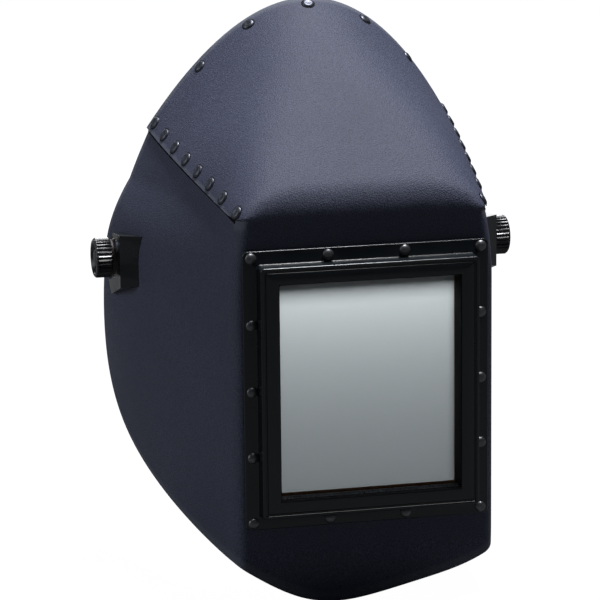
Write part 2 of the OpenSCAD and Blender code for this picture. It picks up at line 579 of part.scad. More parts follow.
module ratchet_knob() color(moulding) headgear() translate([0, house_back + cover_t + 0.6, nape_z])
    rotate([-90, 0, 0]) difference() {
        union() {
            linear_extrude(11) knurled_2d(18, 24, 1.2);
            cylinder(d1 = 33, d2 = 30, h = 13);
        }
        translate([0, 0, -1]) cylinder(d = 8.1, h = 3);
        translate([0, 0, 11]) cylinder(d = 22, h = 3);
    }
// Leaf that clicks on the pinion's hub.
module click_spring() color(steel) headgear() translate([0, rack_y + 3, nape_z - 4]) linear_extrude(8)
    polygon([[4.3, 0], [6, -0.6], [20, 1], [20, 1.6], [6, 0.1], [4.3, 0.6]]);
module nape_pad() color("#4a4038") headgear() oval_strip(148, 212, 10.3, 8, nape_z - 16, nape_z + 16);
module pivot_block_right() pivot_block();
module pivot_block_left() left_side() pivot_block();
module pivot_pad_right() pivot_pad();
module pivot_pad_left() left_side() pivot_pad();
module pivot_stud_right() pivot_stud();
module pivot_stud_left() left_side() pivot_stud();
module inner_washer_right() inner_washer();
module inner_washer_left() left_side() inner_washer();
module outer_washer_right() outer_washer();
module outer_washer_left() left_side() outer_washer();
module spring_washer_right() spring_washer();
module spring_washer_left() left_side() spring_washer();
module friction_knob_right() friction_knob();
module friction_knob_left() left_side() friction_knob();
module side_arm_right() side_arm();
module side_arm_left() left_side() side_arm();
module rear_band_right() rear_band();
module rear_band_left() left_side() rear_band();
module block_rivets() color(steel) {
    pin_pair();
    left_side() pin_pair();
}

fibre_shell();
seam_rivets_left();
seam_rivets_right();
crown_rivets();
crown_stiffener();
window_frame();
frame_rivets();
backing_frame();
cover_plate();
cover_gasket();
filter_plate();
rear_gasket();
inner_plate();
plate_bail();
pivot_block_left();
pivot_block_right();
pivot_pad_left();
pivot_pad_right();
block_rivets();
pivot_stud_left();
pivot_stud_right();
inner_washer_left();
inner_washer_right();
outer_washer_left();
outer_washer_right();
spring_washer_left();
spring_washer_right();
friction_knob_left();
friction_knob_right();
front_band();
sweatband();
side_arm_left();
side_arm_right();
arm_rivets();
rear_band_left();
rear_band_right();
band_rivets();
rack_left();
rack_right();
ratchet_housing();
ratchet_cover();
housing_screws();
pinion();
ratchet_knob();
click_spring();
nape_pad();
crown_strap_left();
crown_strap_right();
strap_buttons();
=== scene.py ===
"""Looks for the flip-up welding helmet: finer skins, rivets, knobs, straps and pads on its CAD frame."""
import json
import math

import bmesh
import bpy
import numpy as np
from mathutils import Matrix, Vector


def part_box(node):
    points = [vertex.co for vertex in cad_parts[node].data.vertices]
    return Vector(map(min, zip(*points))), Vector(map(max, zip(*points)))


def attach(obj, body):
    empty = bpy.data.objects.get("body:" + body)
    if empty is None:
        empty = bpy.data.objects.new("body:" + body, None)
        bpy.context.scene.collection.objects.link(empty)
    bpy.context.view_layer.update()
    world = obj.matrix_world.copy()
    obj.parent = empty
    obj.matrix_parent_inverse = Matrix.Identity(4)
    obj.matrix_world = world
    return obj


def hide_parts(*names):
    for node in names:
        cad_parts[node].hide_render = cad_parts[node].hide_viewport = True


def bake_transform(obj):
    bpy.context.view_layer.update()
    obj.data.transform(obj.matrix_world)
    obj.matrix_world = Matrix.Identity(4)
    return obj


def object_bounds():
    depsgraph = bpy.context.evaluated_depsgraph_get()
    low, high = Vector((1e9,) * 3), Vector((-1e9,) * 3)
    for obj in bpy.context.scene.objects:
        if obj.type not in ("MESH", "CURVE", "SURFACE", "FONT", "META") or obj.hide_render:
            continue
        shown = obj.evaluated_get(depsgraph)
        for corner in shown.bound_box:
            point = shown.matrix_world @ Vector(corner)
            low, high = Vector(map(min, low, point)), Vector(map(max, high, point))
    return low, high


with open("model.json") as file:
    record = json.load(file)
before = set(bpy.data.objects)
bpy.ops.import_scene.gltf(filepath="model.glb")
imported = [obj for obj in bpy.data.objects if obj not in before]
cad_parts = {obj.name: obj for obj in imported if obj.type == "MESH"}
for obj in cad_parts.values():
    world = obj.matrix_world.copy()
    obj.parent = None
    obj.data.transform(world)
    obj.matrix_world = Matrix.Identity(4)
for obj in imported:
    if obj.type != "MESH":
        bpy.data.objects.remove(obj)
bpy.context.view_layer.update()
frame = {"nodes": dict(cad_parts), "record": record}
MM = 0.001
NODES = frame["nodes"]

# ---------------------------------------------------------------- sizes, in millimetres, from the CAD nodes


def span(node):
    """Lower and upper corner of a CAD node's box."""
    low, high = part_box(node)
    return [v / MM for v in low], [v / MM for v in high]


flange_low = span("window_frame")[0]
plate_low, plate_high = span("cover_plate")
shell_low, shell_high = span("fibre_shell")
knob_low, knob_high = span("friction_knob_right")

PLATE_W = plate_high[0] - plate_low[0]
PLATE_H = plate_high[2] - plate_low[2]
WINDOW_Z = (plate_low[2] + plate_high[2]) / 2
FRONT_Y = shell_low[1]                  # the flat front's face
BEZEL_Y = flange_low[1]                 # the bezel's face
LIP = 4.8                               # cover of the bezel's lip over the plate on each side
SHEET = 2.0                             # the fibre's thickness
FOLD_Y = FRONT_Y + 8                    # where the vertical folds end and the side panels start
FRONT_HALF = 76.5                       # half of the front's width at FOLD_Y
FLAT_HALF = FRONT_HALF - 7
TOP_NARROWING = 4.5                     # how much the front's half width shrinks towards its top
NARROW_Z, NARROW_RUN = 5.0, 40.0        # where that starts, and over what height
SIDE_FLARE = 41.0                       # how far the sides spread from FOLD_Y to the pivots' axis
SEAM_FLARE = SIDE_FLARE / 2             # and how far at the seams
LOW_FLARE_SPAN = 165.0                  # height over which the spread halves below the axis
FLARE_POWER = 1.8                       # how late the spread shrinks towards the seam
REAR_TUCK = 0.12                        # share by which the sides turn in towards the rear
FRONT_TOP, TOP_FOLD_R = 45.0, 25.0      # the flat front's top, and the radius of the fold over it
CROWN_START, CROWN_END = math.radians(39), math.radians(30)     # the crown's slopes, front and rear
CROWN_REAR = np.array([-14.0, shell_high[2]])                   # (y, z) points of the outline
SEAM_REAR = np.array([8.0, 75.5])
SEAM_SLOPE = 0.212
CHEEK = np.array([52.0, -72.0])
CHIN_CORNER = np.array([FOLD_Y, -153.0])
CHIN_DROP = CHIN_CORNER[1] - shell_low[2]
CHIN_POWER = 2.1                        # roundness of the chin
CHIN_SKEW = 4.5                         # the real chin's low point sits off the centre line
CURL, CURL_Z, CURL_RUN = 4.0, -140.0, 36.0      # how far the chin curls back, from where, over what height
ROUND_SHOULDER, SQUARE_SHOULDER = 2, 9  # powers of the crown's section at its rear and at its front
CROWN_OFF = 2.2                         # the crown's edge, outside the side panel
FLAP_SPAN, FLAP_GAP = 0.062, 0.8        # the side panel's flap under the crown: width share and gap
CORNER_SHARE = 0.045                    # share of the crown's length that turns the front's corner
CORNER_SLIT = 0.6                       # opening between crown and side at that corner
CORNER_HOLD = 50                        # extra power that keeps the front's plan near the corner


def clamp(x, low, high):
    return min(max(x, low), high)


def mix(a, b, t):
    return a * (1 - t) + b * t


def smooth(t):
    t = clamp(t, 0, 1)
    return t * t * (3 - 2 * t)


def bez(a, b, c, d, t):
    return (1 - t) ** 3 * a + 3 * (1 - t) ** 2 * t * b + 3 * (1 - t) * t * t * c + t ** 3 * d


# ---------------------------------------------------------------- the shell's surface, close to the CAD's


def seam_z(y):
    """Height of the seam between side and crown."""
    return SEAM_REAR[1] + SEAM_SLOPE * (y - SEAM_REAR[0])


def fold_half(z):
    """Half of the front's width at height z."""
    return FRONT_HALF - TOP_NARROWING * clamp((z - NARROW_Z) / NARROW_RUN, 0, 1) ** 2


def flare(y, z):
    """How far the sides spread towards the pivots' axis, at height z."""
    if z >= 0:
        return SIDE_FLARE - (SIDE_FLARE - SEAM_FLARE) * (z / seam_z(y)) ** FLARE_POWER
    return SIDE_FLARE * (1 - 0.5 * (z / LOW_FLARE_SPAN) ** 2)


def side_x(y, z):
    """Half width of the side panels at (y, z)."""
    t = (y - FOLD_Y) / -FOLD_Y
    return fold_half(z) + flare(y, z) * t * (1 - REAR_TUCK * max(t, 0) ** 3)


def side_patch(c, v):
    """(y, z) of a side panel: c runs from the rear edge to the fold, v from the lower edge to the seam."""
    d = np.array([FOLD_Y, seam_z(FOLD_Y)])
    top = mix(SEAM_REAR, d, c)
    front = mix(CHIN_CORNER, d, v)
    bottom = bez(CHEEK, CHEEK - [0, 38], CHIN_CORNER + [100, 6], CHIN_CORNER, c)
    rear = bez(CHEEK, CHEEK + [0, 24], SEAM_REAR - [-4, 55], SEAM_REAR, v)
    corners = mix(mix(CHEEK, SEAM_REAR, v), mix(CHIN_CORNER, d, v), c)
    return mix(bottom, top, v) + mix(rear, front, c) - corners


def fold_plan(t):
    """(x, y) round the vertical fold, from the side panel at t = 0 to the flat front at t = 1."""
    run = SIDE_FLARE / -FOLD_Y * (FOLD_Y - FRONT_Y)
    a, b, c = (FRONT_HALF, FOLD_Y), (FRONT_HALF - run, FRONT_Y), (FLAT_HALF, FRONT_Y)
    return [(1 - t) ** 2 * p + 2 * t * (1 - t) * q + t * t * r for p, q, r in zip(a, b, c)]


def chin_z(x):
    """Height of the front's lower edge."""
    u = clamp(x / FRONT_HALF, -1, 1)
    skew = CHIN_SKEW * math.sin(math.pi * u) * (1 - u * u)
    return CHIN_CORNER[1] - CHIN_DROP * (1 - abs(u) ** CHIN_POWER) + skew


def front_point(p, v):
    """Point of the front above plan point p: v = 0 on the chin, 1 on the fold over the top."""
    u = min(abs(p[0]) / FRONT_HALF, 1)
    z = mix(chin_z(p[0]), mix(FRONT_TOP, seam_z(FOLD_Y), u ** SQUARE_SHOULDER), v)
    curl = CURL * (max(CURL_Z - z, 0) / CURL_RUN) ** 2
    return np.array([p[0] * fold_half(z) / FRONT_HALF, p[1] + curl, z])


FOLD_TURN = math.pi / 2 - CROWN_START


def top_fold(a):
    """(y, z) on the fold over the top, after a turn of a."""
    return np.array([FRONT_Y + TOP_FOLD_R * (1 - math.cos(a)), FRONT_TOP + TOP_FOLD_R * math.sin(a)])


FOLD_END = top_fold(FOLD_TURN)
run_up = CROWN_REAR - FOLD_END
knee = run_up[0] * math.sin(CROWN_END) - run_up[1] * math.cos(CROWN_END)
knee /= math.sin(CROWN_END - CROWN_START)
CROWN_KNEE = FOLD_END + knee * np.array([math.cos(CROWN_START), math.sin(CROWN_START)])
FOLD_SHARE = TOP_FOLD_R * FOLD_TURN / (TOP_FOLD_R * FOLD_TURN + np.linalg.norm(run_up))


def crown_line(s):
    """Centre line of the crown in (y, z), from s = 0 at the front to 1 at the rear edge."""
    if s < FOLD_SHARE:
        return top_fold(FOLD_TURN * s / FOLD_SHARE)
    t = (s - FOLD_SHARE) / (1 - FOLD_SHARE)
    return (1 - t) ** 2 * FOLD_END + 2 * t * (1 - t) * CROWN_KNEE + t * t * CROWN_REAR


def seam_point(s):
    """The crown's edge: first half of the vertical fold, then along the side panel's seam."""
    if s < CORNER_SHARE:
        p = fold_plan(0.5 * (1 - s / CORNER_SHARE))
        return np.array([p[0] * fold_half(seam_z(FOLD_Y)) / FRONT_HALF, p[1], seam_z(FOLD_Y)])
    y = mix(FOLD_Y, SEAM_REAR[0], (s - CORNER_SHARE) / (1 - CORNER_SHARE))
    return np.array([side_x(y, seam_z(y)), y, seam_z(y)])


def seam_share(y):
    """The s at which the seam passes y."""
    return CORNER_SHARE + (1 - CORNER_SHARE) * (y - FOLD_Y) / (SEAM_REAR[0] - FOLD_Y)


def crown_point(s, k, off=CROWN_OFF):
    """Point of the crown: k = 0 on the centre line and +-1 on the seams; off moves its edge outward."""
    e, top = seam_point(s), crown_line(s)
    power = ROUND_SHOULDER + (SQUARE_SHOULDER - ROUND_SHOULDER) * (1 - s) ** 3
    rise = abs(k) ** power
    plan = abs(k) ** (power + CORNER_HOLD * (1 - smooth(s / (2.5 * CORNER_SHARE))))
    ramp = smooth(s / (3 * CORNER_SHARE))
    tuck = max(1 - s / CORNER_SHARE, 0)
    slit = CORNER_SLIT * math.sin(math.pi * min(s / CORNER_SHARE, 1)) * rise
    return np.array([k * (e[0] + off * ramp), mix(top[0], e[1] - off * ramp * tuck, plan),
                     mix(top[1], e[2], rise) + slit])


def crown_normal(s, k):
    d = 0.01
    across = crown_point(s, min(k + d, 1.01)) - crown_point(s, k - d)
    along = crown_point(min(s + d, 1), k) - crown_point(s - d, k)
    n = np.cross(across, along)
    return n / np.linalg.norm(n)


# ---------------------------------------------------------------- mesh helpers


def new_object(name, points, faces, crease=32.0):
    """A mesh from points in millimetres, smooth except at edges sharper than crease degrees."""
    mesh = bpy.data.meshes.new(name)
    mesh.from_pydata([tuple(float(c) * MM for c in p) for p in points], [], faces)
    mesh.validate()
    bm = bmesh.new()
    bm.from_mesh(mesh)
    bmesh.ops.recalc_face_normals(bm, faces=bm.faces)
    bm.to_mesh(mesh)
    bm.free()
    mesh.polygons.foreach_set("use_smooth", [True] * len(mesh.polygons))
    mesh.set_sharp_from_angle(angle=math.radians(crease))
    o = bpy.data.objects.new(name, mesh)
    bpy.context.scene.collection.objects.link(o)
    return o


def loft(loops, closed=False):
    """Points and faces of a skin over equal loops; closed joins the last loop to the first."""
    n = len(loops[0])
    points = [p for loop in loops for p in loop]
    faces = []
    for a in range(len(loops) if closed else len(loops) - 1):
        b = (a + 1) % len(loops)
        for i in range(n):
            j = (i + 1) % n
            faces.append((a * n + i, a * n + j, b * n + j, b * n + i))
    if not closed:
        faces += [tuple(range(n)), tuple(reversed(range((len(loops) - 1) * n, len(loops) * n)))]
    return points, faces


def bevelled(o, width, segments=2, angle=40.0):
    """Rounds an object's edges that are sharper than angle degrees."""
    m = o.modifiers.new("edge", "BEVEL")
    m.width, m.segments, m.limit_method, m.angle_limit = width * MM, segments, "ANGLE", math.radians(angle)
    m.harden_normals = True


def applied(o):
    """Bakes an object's modifiers into its mesh."""
    bpy.context.view_layer.update()
    dg = bpy.context.evaluated_depsgraph_get()
    mesh = bpy.data.meshes.new_from_object(o.evaluated_get(dg))
    o.modifiers.clear()
    o.data = mesh


def joined(shapes):
    """One (points, faces) pair from several."""
    points, faces = [], []
    for p, f in shapes:
        k = len(points)
        points += list(p)
        faces += [tuple(k + i for i in face) for face in f]
    return points, faces


def placed(shape, at, normal):
    """A shape drawn along +Z, moved to a point and turned to a direction."""
    turn = np.array(Vector(normal).to_track_quat("Z", "Y").to_matrix())
    return [turn @ np.array(p, float) + at for p in shape[0]], shape[1]


def lathe(profile, n=32):
    """Turned solid about +Z from (radius, height) pairs; the ends may lie on the axis."""
    turns = [math.tau * i / n for i in range(n)]
    return loft([[(r * math.cos(a), r * math.sin(a), z) for a in turns] for r, z in profile])


def round_steps(r, n=4):
    """Quarter-round offsets (inward, forward) from the side face to the top face."""
    return [(r * (1 - math.cos(a)), r * math.sin(a)) for a in [math.pi / 2 * i / n for i in range(n + 1)]]


def rect_loop(half_w, half_h, r, y, n=6):
    """Rounded rectangle in the window's plane."""
    r = min(r, half_w - 0.01, half_h - 0.01)
    loop = []
    for cx, cz, a0 in ((1, 1, 0), (-1, 1, 90), (-1, -1, 180), (1, -1, 270)):
        for i in range(n + 1):
            a = math.radians(a0 + 90 * i / n)
            z = cz * (half_h - r) + r * math.sin(a)
            loop.append((cx * (half_w - r) + r * math.cos(a), y, WINDOW_Z + z))
    return loop


# ---------------------------------------------------------------- materials


class Shade:
    """Small helper that wires a node material."""

    def __init__(self, name):
        self.m = bpy.data.materials.new(name)
        self.m.use_nodes = True
        self.t = self.m.node_tree
        self.p = self.t.nodes["Principled BSDF"]
        self.coord = self.node("ShaderNodeTexCoord").outputs["Object"]

    def node(self, kind, **values):
        n = self.t.nodes.new(kind)
        for key, v in values.items():
            setattr(n, key, v)
        return n

    def wire(self, a, b):
        self.t.links.new(a, b)

    def put(self, socket, v):
        if isinstance(v, bpy.types.NodeSocket):
            self.wire(v, socket)
        else:
            socket.default_value = v

    def noise(self, scale, detail=2.0, rough=0.5, stretch=None, seed=0.0):
        n = self.node("ShaderNodeTexNoise")
        n.inputs["Scale"].default_value = scale
        n.inputs["Detail"].default_value = detail
        n.inputs["Roughness"].default_value = rough
        at = self.coord
        if stretch or seed:
            m = self.node("ShaderNodeMapping")
            m.inputs["Scale"].default_value = stretch or (1, 1, 1)
            m.inputs["Location"].default_value = (seed, seed * 0.7, seed * 1.3)
            self.wire(at, m.inputs["Vector"])
            at = m.outputs["Vector"]
        self.wire(at, n.inputs["Vector"])
        return n.outputs["Fac"]

    def cells(self, scale):
        n = self.node("ShaderNodeTexVoronoi", feature="F1")
        n.inputs["Scale"].default_value = scale
        self.wire(self.coord, n.inputs["Vector"])
        return n.outputs["Distance"]

    def math(self, kind, a, b=0.5, clamped=False):
        n = self.node("ShaderNodeMath", operation=kind, use_clamp=clamped)
        self.put(n.inputs[0], a)
        self.put(n.inputs[1], b)
        return n.outputs[0]

    def remap(self, v, a, b, c=0.0, d=1.0):
        n = self.node("ShaderNodeMapRange")
        self.wire(v, n.inputs["Value"])
        for key, x in (("From Min", a), ("From Max", b), ("To Min", c), ("To Max", d)):
            n.inputs[key].default_value = x
        return n.outputs["Result"]

    def blend(self, fac, a, b):
        n = self.node("ShaderNodeMix", data_type="RGBA")
        self.put(n.inputs[0], fac)
        for socket, v in ((n.inputs[6], a), (n.inputs[7], b)):
            self.put(socket, v if isinstance(v, bpy.types.NodeSocket) else (*v, 1))
        return n.outputs[2]

    def bump(self, height, strength, distance, base=None):
        n = self.node("ShaderNodeBump")
        n.inputs["Strength"].default_value = strength
        n.inputs["Distance"].default_value = distance
        self.wire(height, n.inputs["Height"])
        if base is not None:
            self.wire(base, n.inputs["Normal"])
        return n.outputs["Normal"]

    def finish(self, **values):
        for key, v in values.items():
            self.put(self.p.inputs[key.replace("_", " ")], v)
        return self.m

    def worn(self, low=0.51, high=0.58):
        g = self.node("ShaderNodeNewGeometry")
        return self.remap(g.outputs["Pointiness"], low, high)


def fibre_material():
    """Vulcanised fibre: fine grain and pebble, cloudy tone, pale specks and worn edges."""
    s = Shade("fibre")
    grain = s.noise(1500, 2.0, 0.7)
    pebble = s.cells(1300)
    patch = s.noise(16, 3.0, 0.6)
    speck = s.remap(s.noise(1700, 1.0, 0.5, seed=3.0), 0.60, 0.74)
    tone = s.blend(s.remap(grain, 0.34, 0.66), (0.026, 0.029, 0.047), (0.113, 0.122, 0.194))
    tone = s.blend(s.remap(patch, 0.25, 0.75, 0.0, 0.5), tone, (0.048, 0.053, 0.088))
    tone = s.blend(s.math("MULTIPLY", speck, 0.35), tone, (0.19, 0.20, 0.25))
    tone = s.blend(s.math("MULTIPLY", s.worn(0.52, 0.60), 0.5, True), tone, (0.15, 0.16, 0.19))
    height = s.math("ADD", s.math("MULTIPLY", pebble, 0.7), grain)
    fine = s.bump(height, 0.65, 0.00038)
    broad = s.bump(s.noise(40, 2.0, 0.5), 0.05, 0.002, fine)
    return s.finish(Base_Color=tone, Roughness=s.remap(grain, 0.2, 0.8, 0.48, 0.70), Normal=broad,
                    Specular_IOR_Level=0.26)


def moulded_material(name, base, rough, grain_scale=900.0, strength=0.12, gloss=0.5, dusty=0.012):
    """Moulded plastic with grain, dust, scuffs and lighter worn edges."""
    s = Shade(name)
    grain = s.noise(grain_scale, 3.0, 0.6)
    dust = s.noise(38, 4.0, 0.65)
    scuff = s.noise(260, 2.0, 0.5, stretch=(0.15, 1.0, 1.0), seed=2.0)
    light = tuple(min(c * 1.9 + dusty, 1) for c in base)
    tone = s.blend(s.remap(dust, 0.35, 0.75, 0.0, 0.45), base, light)
    tone = s.blend(s.math("MULTIPLY", s.worn(), 0.35, True), tone, tuple(c * 2.5 + 0.03 for c in base))
    shine = s.math("ADD", s.remap(dust, 0.3, 0.8, rough - 0.05, rough + 0.12),
                   s.remap(scuff, 0.62, 0.75, 0.0, 0.12))
    return s.finish(Base_Color=tone, Roughness=shine, Normal=s.bump(grain, strength, 0.0003),
                    Specular_IOR_Level=gloss)


def metal_material(name, base, rough, dark, rust=0.3):
    """Metal with fine brushing and patches of stain."""
    s = Shade(name)
    grain = s.noise(1500, 2.0, 0.5, stretch=(1, 1, 0.2))
    stain = s.noise(240, 4.0, 0.7)
    tone = s.blend(s.remap(stain, 0.42, 0.68, 0.0, rust), base, dark)
    return s.finish(Base_Color=tone, Metallic=s.remap(stain, 0.4, 0.7, 0.95, 0.6),
                    Roughness=s.remap(grain, 0.25, 0.75, rough - 0.08, rough + 0.12),
                    Normal=s.bump(grain, 0.15, 0.0002))


def board_material():
    """Flecked brown gasket board."""
    s = Shade("gasket")
    fleck = s.noise(1400, 3.0, 0.7)
    tone = s.blend(s.remap(fleck, 0.35, 0.65), (0.16, 0.065, 0.028), (0.42, 0.20, 0.10))
    return s.finish(Base_Color=tone, Roughness=0.85, Normal=s.bump(fleck, 0.5, 0.0004))


def knit_material(name, a, b):
    """Ribbed knit cloth over foam."""
    s = Shade(name)
    waves = []
    for direction, scale in (("X", 380.0), ("Z", 330.0), ("Y", 380.0)):
        w = s.node("ShaderNodeTexWave", wave_type="BANDS", bands_direction=direction)
        w.inputs["Scale"].default_value = scale
        w.inputs["Distortion"].default_value = 1.2
        w.inputs["Detail"].default_value = 1.0
        s.wire(s.coord, w.inputs["Vector"])
        waves.append(w.outputs["Fac"])
    rib = s.math("MULTIPLY", s.math("MAXIMUM", waves[0], waves[2]), waves[1])
    fuzz = s.noise(2200, 2.0, 0.6)
    tone = s.blend(s.remap(s.math("ADD", rib, s.math("MULTIPLY", fuzz, 0.6)), 0.3, 1.2), a, b)
    tone = s.blend(s.remap(s.noise(30, 3.0, 0.6), 0.4, 0.75, 0.0, 0.35), tone, tuple(c * 0.6 for c in a))
    return s.finish(Base_Color=tone, Roughness=0.92, Sheen_Weight=0.25, Sheen_Roughness=0.5,
                    Normal=s.bump(s.math("ADD", rib, s.math("MULTIPLY", fuzz, 0.5)), 0.6, 0.0006),
                    Specular_IOR_Level=0.2)


def filter_material():
    """Filter plate painted as a reflection: light grey, a little darker towards its lower edge."""
    s = Shade("filter")
    sep = s.node("ShaderNodeSeparateXYZ")
    s.wire(s.coord, sep.inputs[0])
    # painted reflection: lighter towards the top, darker towards the lower edge
    reflection_fade = s.math("POWER", s.remap(sep.outputs["Z"], plate_low[2] * MM, plate_high[2] * MM), 2.6)
    tone = s.blend(reflection_fade, (0.245, 0.250, 0.260), (0.58, 0.58, 0.59))
    tone = s.blend(s.remap(s.noise(900, 3.0, 0.6), 0.3, 0.8, 0.0, 0.06), tone, (0.42, 0.43, 0.44))
    return s.finish(Base_Color=tone, Metallic=0.0, Specular_IOR_Level=0.15,
                    Roughness=s.remap(s.noise(900, 2.0), 0.3, 0.7, 0.55, 0.60))


def clear_material():
    """Clear cover plate with a hazy reflection."""
    s = Shade("clear_plate")
    see = s.node("ShaderNodeBsdfTransparent")
    see.inputs["Color"].default_value = (0.95, 0.97, 0.97, 1)
    shine = s.node("ShaderNodeBsdfGlossy")
    haze = s.remap(s.noise(60, 3.0, 0.6), 0.4, 0.8, 0.03, 0.10)
    s.wire(haze, shine.inputs["Roughness"])
    view = s.node("ShaderNodeFresnel")
    view.inputs["IOR"].default_value = 1.35
    both = s.node("ShaderNodeMixShader")
    s.wire(view.outputs[0], both.inputs[0])
    s.wire(see.outputs[0], both.inputs[1])
    s.wire(shine.outputs[0], both.inputs[2])
    s.wire(both.outputs[0], s.t.nodes["Material Output"].inputs["Surface"])
    return s.m


MATERIALS = {
    "fibre": fibre_material(),
    "rivet": metal_material("rivet", (0.115, 0.120, 0.145), 0.42, (0.030, 0.031, 0.038), 0.7),
    "moulding": moulded_material("moulding", (0.005, 0.007, 0.009), 0.17, dusty=0.004),
    "knob": moulded_material("knob", (0.006, 0.006, 0.008), 0.27, 500.0, 0.05, 0.6),
    "stud": metal_material("stud", (0.17, 0.175, 0.185), 0.36, (0.05, 0.05, 0.055), 0.5),
    "shaded_cut_edge": moulded_material("shaded_cut_edge", (0.010, 0.011, 0.016), 0.75, 1400.0, 0.3, 0.15, 0.006),
    "block": moulded_material("block", (0.003, 0.004, 0.005), 0.18, gloss=0.32, dusty=0.002),
    # painted shade for the walls inside the window's aperture
    "recess_shade": moulded_material("recess_shade", (0.003, 0.003, 0.004), 0.6, gloss=0.05, dusty=0.002),
    # painted shade: near-black matt material for the rings round rivet heads and the line under the crown's
    # edge
    "painted_shade": moulded_material("painted_shade", (0.004, 0.004, 0.006), 0.7, gloss=0.05, dusty=0.002),
    "washer": moulded_material("washer", (0.030, 0.022, 0.018), 0.55),
    "steel": metal_material("steel", (0.55, 0.56, 0.58), 0.3, (0.25, 0.22, 0.20)),
    "clear_plate": clear_material(),
    "filter": filter_material(),
    "gasket": board_material(),
    "band": moulded_material("band", (0.022, 0.024, 0.027), 0.42, 1100.0, 0.10),
    "pad": knit_material("pad", (0.075, 0.066, 0.058), (0.20, 0.18, 0.155)),
    "button": moulded_material("button", (0.012, 0.012, 0.013), 0.22, 600.0, 0.04, 0.6),
}


def dress(o, slot, body=None, *nodes, look=None):
    """Gives a piece the material of its slot or look, hangs it on its body and hides the CAD nodes that it
    stands for.
    """
    o.data.materials.clear()
    o.data.materials.append(MATERIALS[look or slot])
    if body:
        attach(o, body)
    if nodes:
        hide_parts(*nodes)
    return o


SLOT_OF = {p["node"]: p["material_slot"] for p in frame["record"]["subparts"]}
SOFT_EDGE = {"backing_frame": 0.3, "side_arm_left": 0.5, "side_arm_right": 0.5, "ratchet_housing": 0.8,
             "ratchet_cover": 0.6, "rack_left": 0.2, "rack_right": 0.2}
# Nodes that are darker than their slot's usual finish.
LOOK_OF = {"outer_washer_left": "washer", "outer_washer_right": "washer"}
for node, o in NODES.items():
    o.data.materials.clear()
    o.data.materials.append(MATERIALS[LOOK_OF.get(node, SLOT_OF[node])])
    weld = o.modifiers.new("weld", "WELD")
    weld.merge_threshold = 1e-5
    if node in SOFT_EDGE:
        bevelled(o, SOFT_EDGE[node])

# ---------------------------------------------------------------- fibre shell
SIDE_N, FOLD_N, FLAT_N, RISE_N, CROWN_N = 44, 12, 40, 56, 60        # steps of the sheet's grid
FACE_N = 2 * FOLD_N + FLAT_N
WIDE_N = 2 * SIDE_N + FACE_N
CORNER_I = SIDE_N + FOLD_N // 2
HOLE_PAST = 3.75                        # how far the window's cut reaches past the plate
HOLE_HALF_W, HOLE_HALF_H = PLATE_W / 2 + HOLE_PAST, PLATE_H / 2 + HOLE_PAST
CORNER_N = 8                            # rows of the crown on the front's corner


def face_plan(k):
    """(x, y) of column k of the fold and the front."""
    if k < FOLD_N:
        return fold_plan(k / FOLD_N)
    return [FLAT_HALF * (1 - 2 * (k - FOLD_N) / FLAT_N), FRONT_Y]


def half_point(i, j, side):
    """Point of column i (side panel, fold, front) and row j; side is +1 or -1."""
    if i < SIDE_N:
        y, z = side_patch(i / SIDE_N, j / RISE_N)
        return np.array([side * side_x(y, z), y, z])
    x, y = face_plan(i - SIDE_N)
    return front_point((side * x, y), j / RISE_N)


def flap_point(i, side):
    """Upper edge of the flap that the crown is riveted to."""
    p = half_point(i, RISE_N, 1)
    q = crown_point(seam_share(p[1]), 1 - FLAP_SPAN, -FLAP_GAP)
    return np.array([side * q[0], q[1], q[2]])


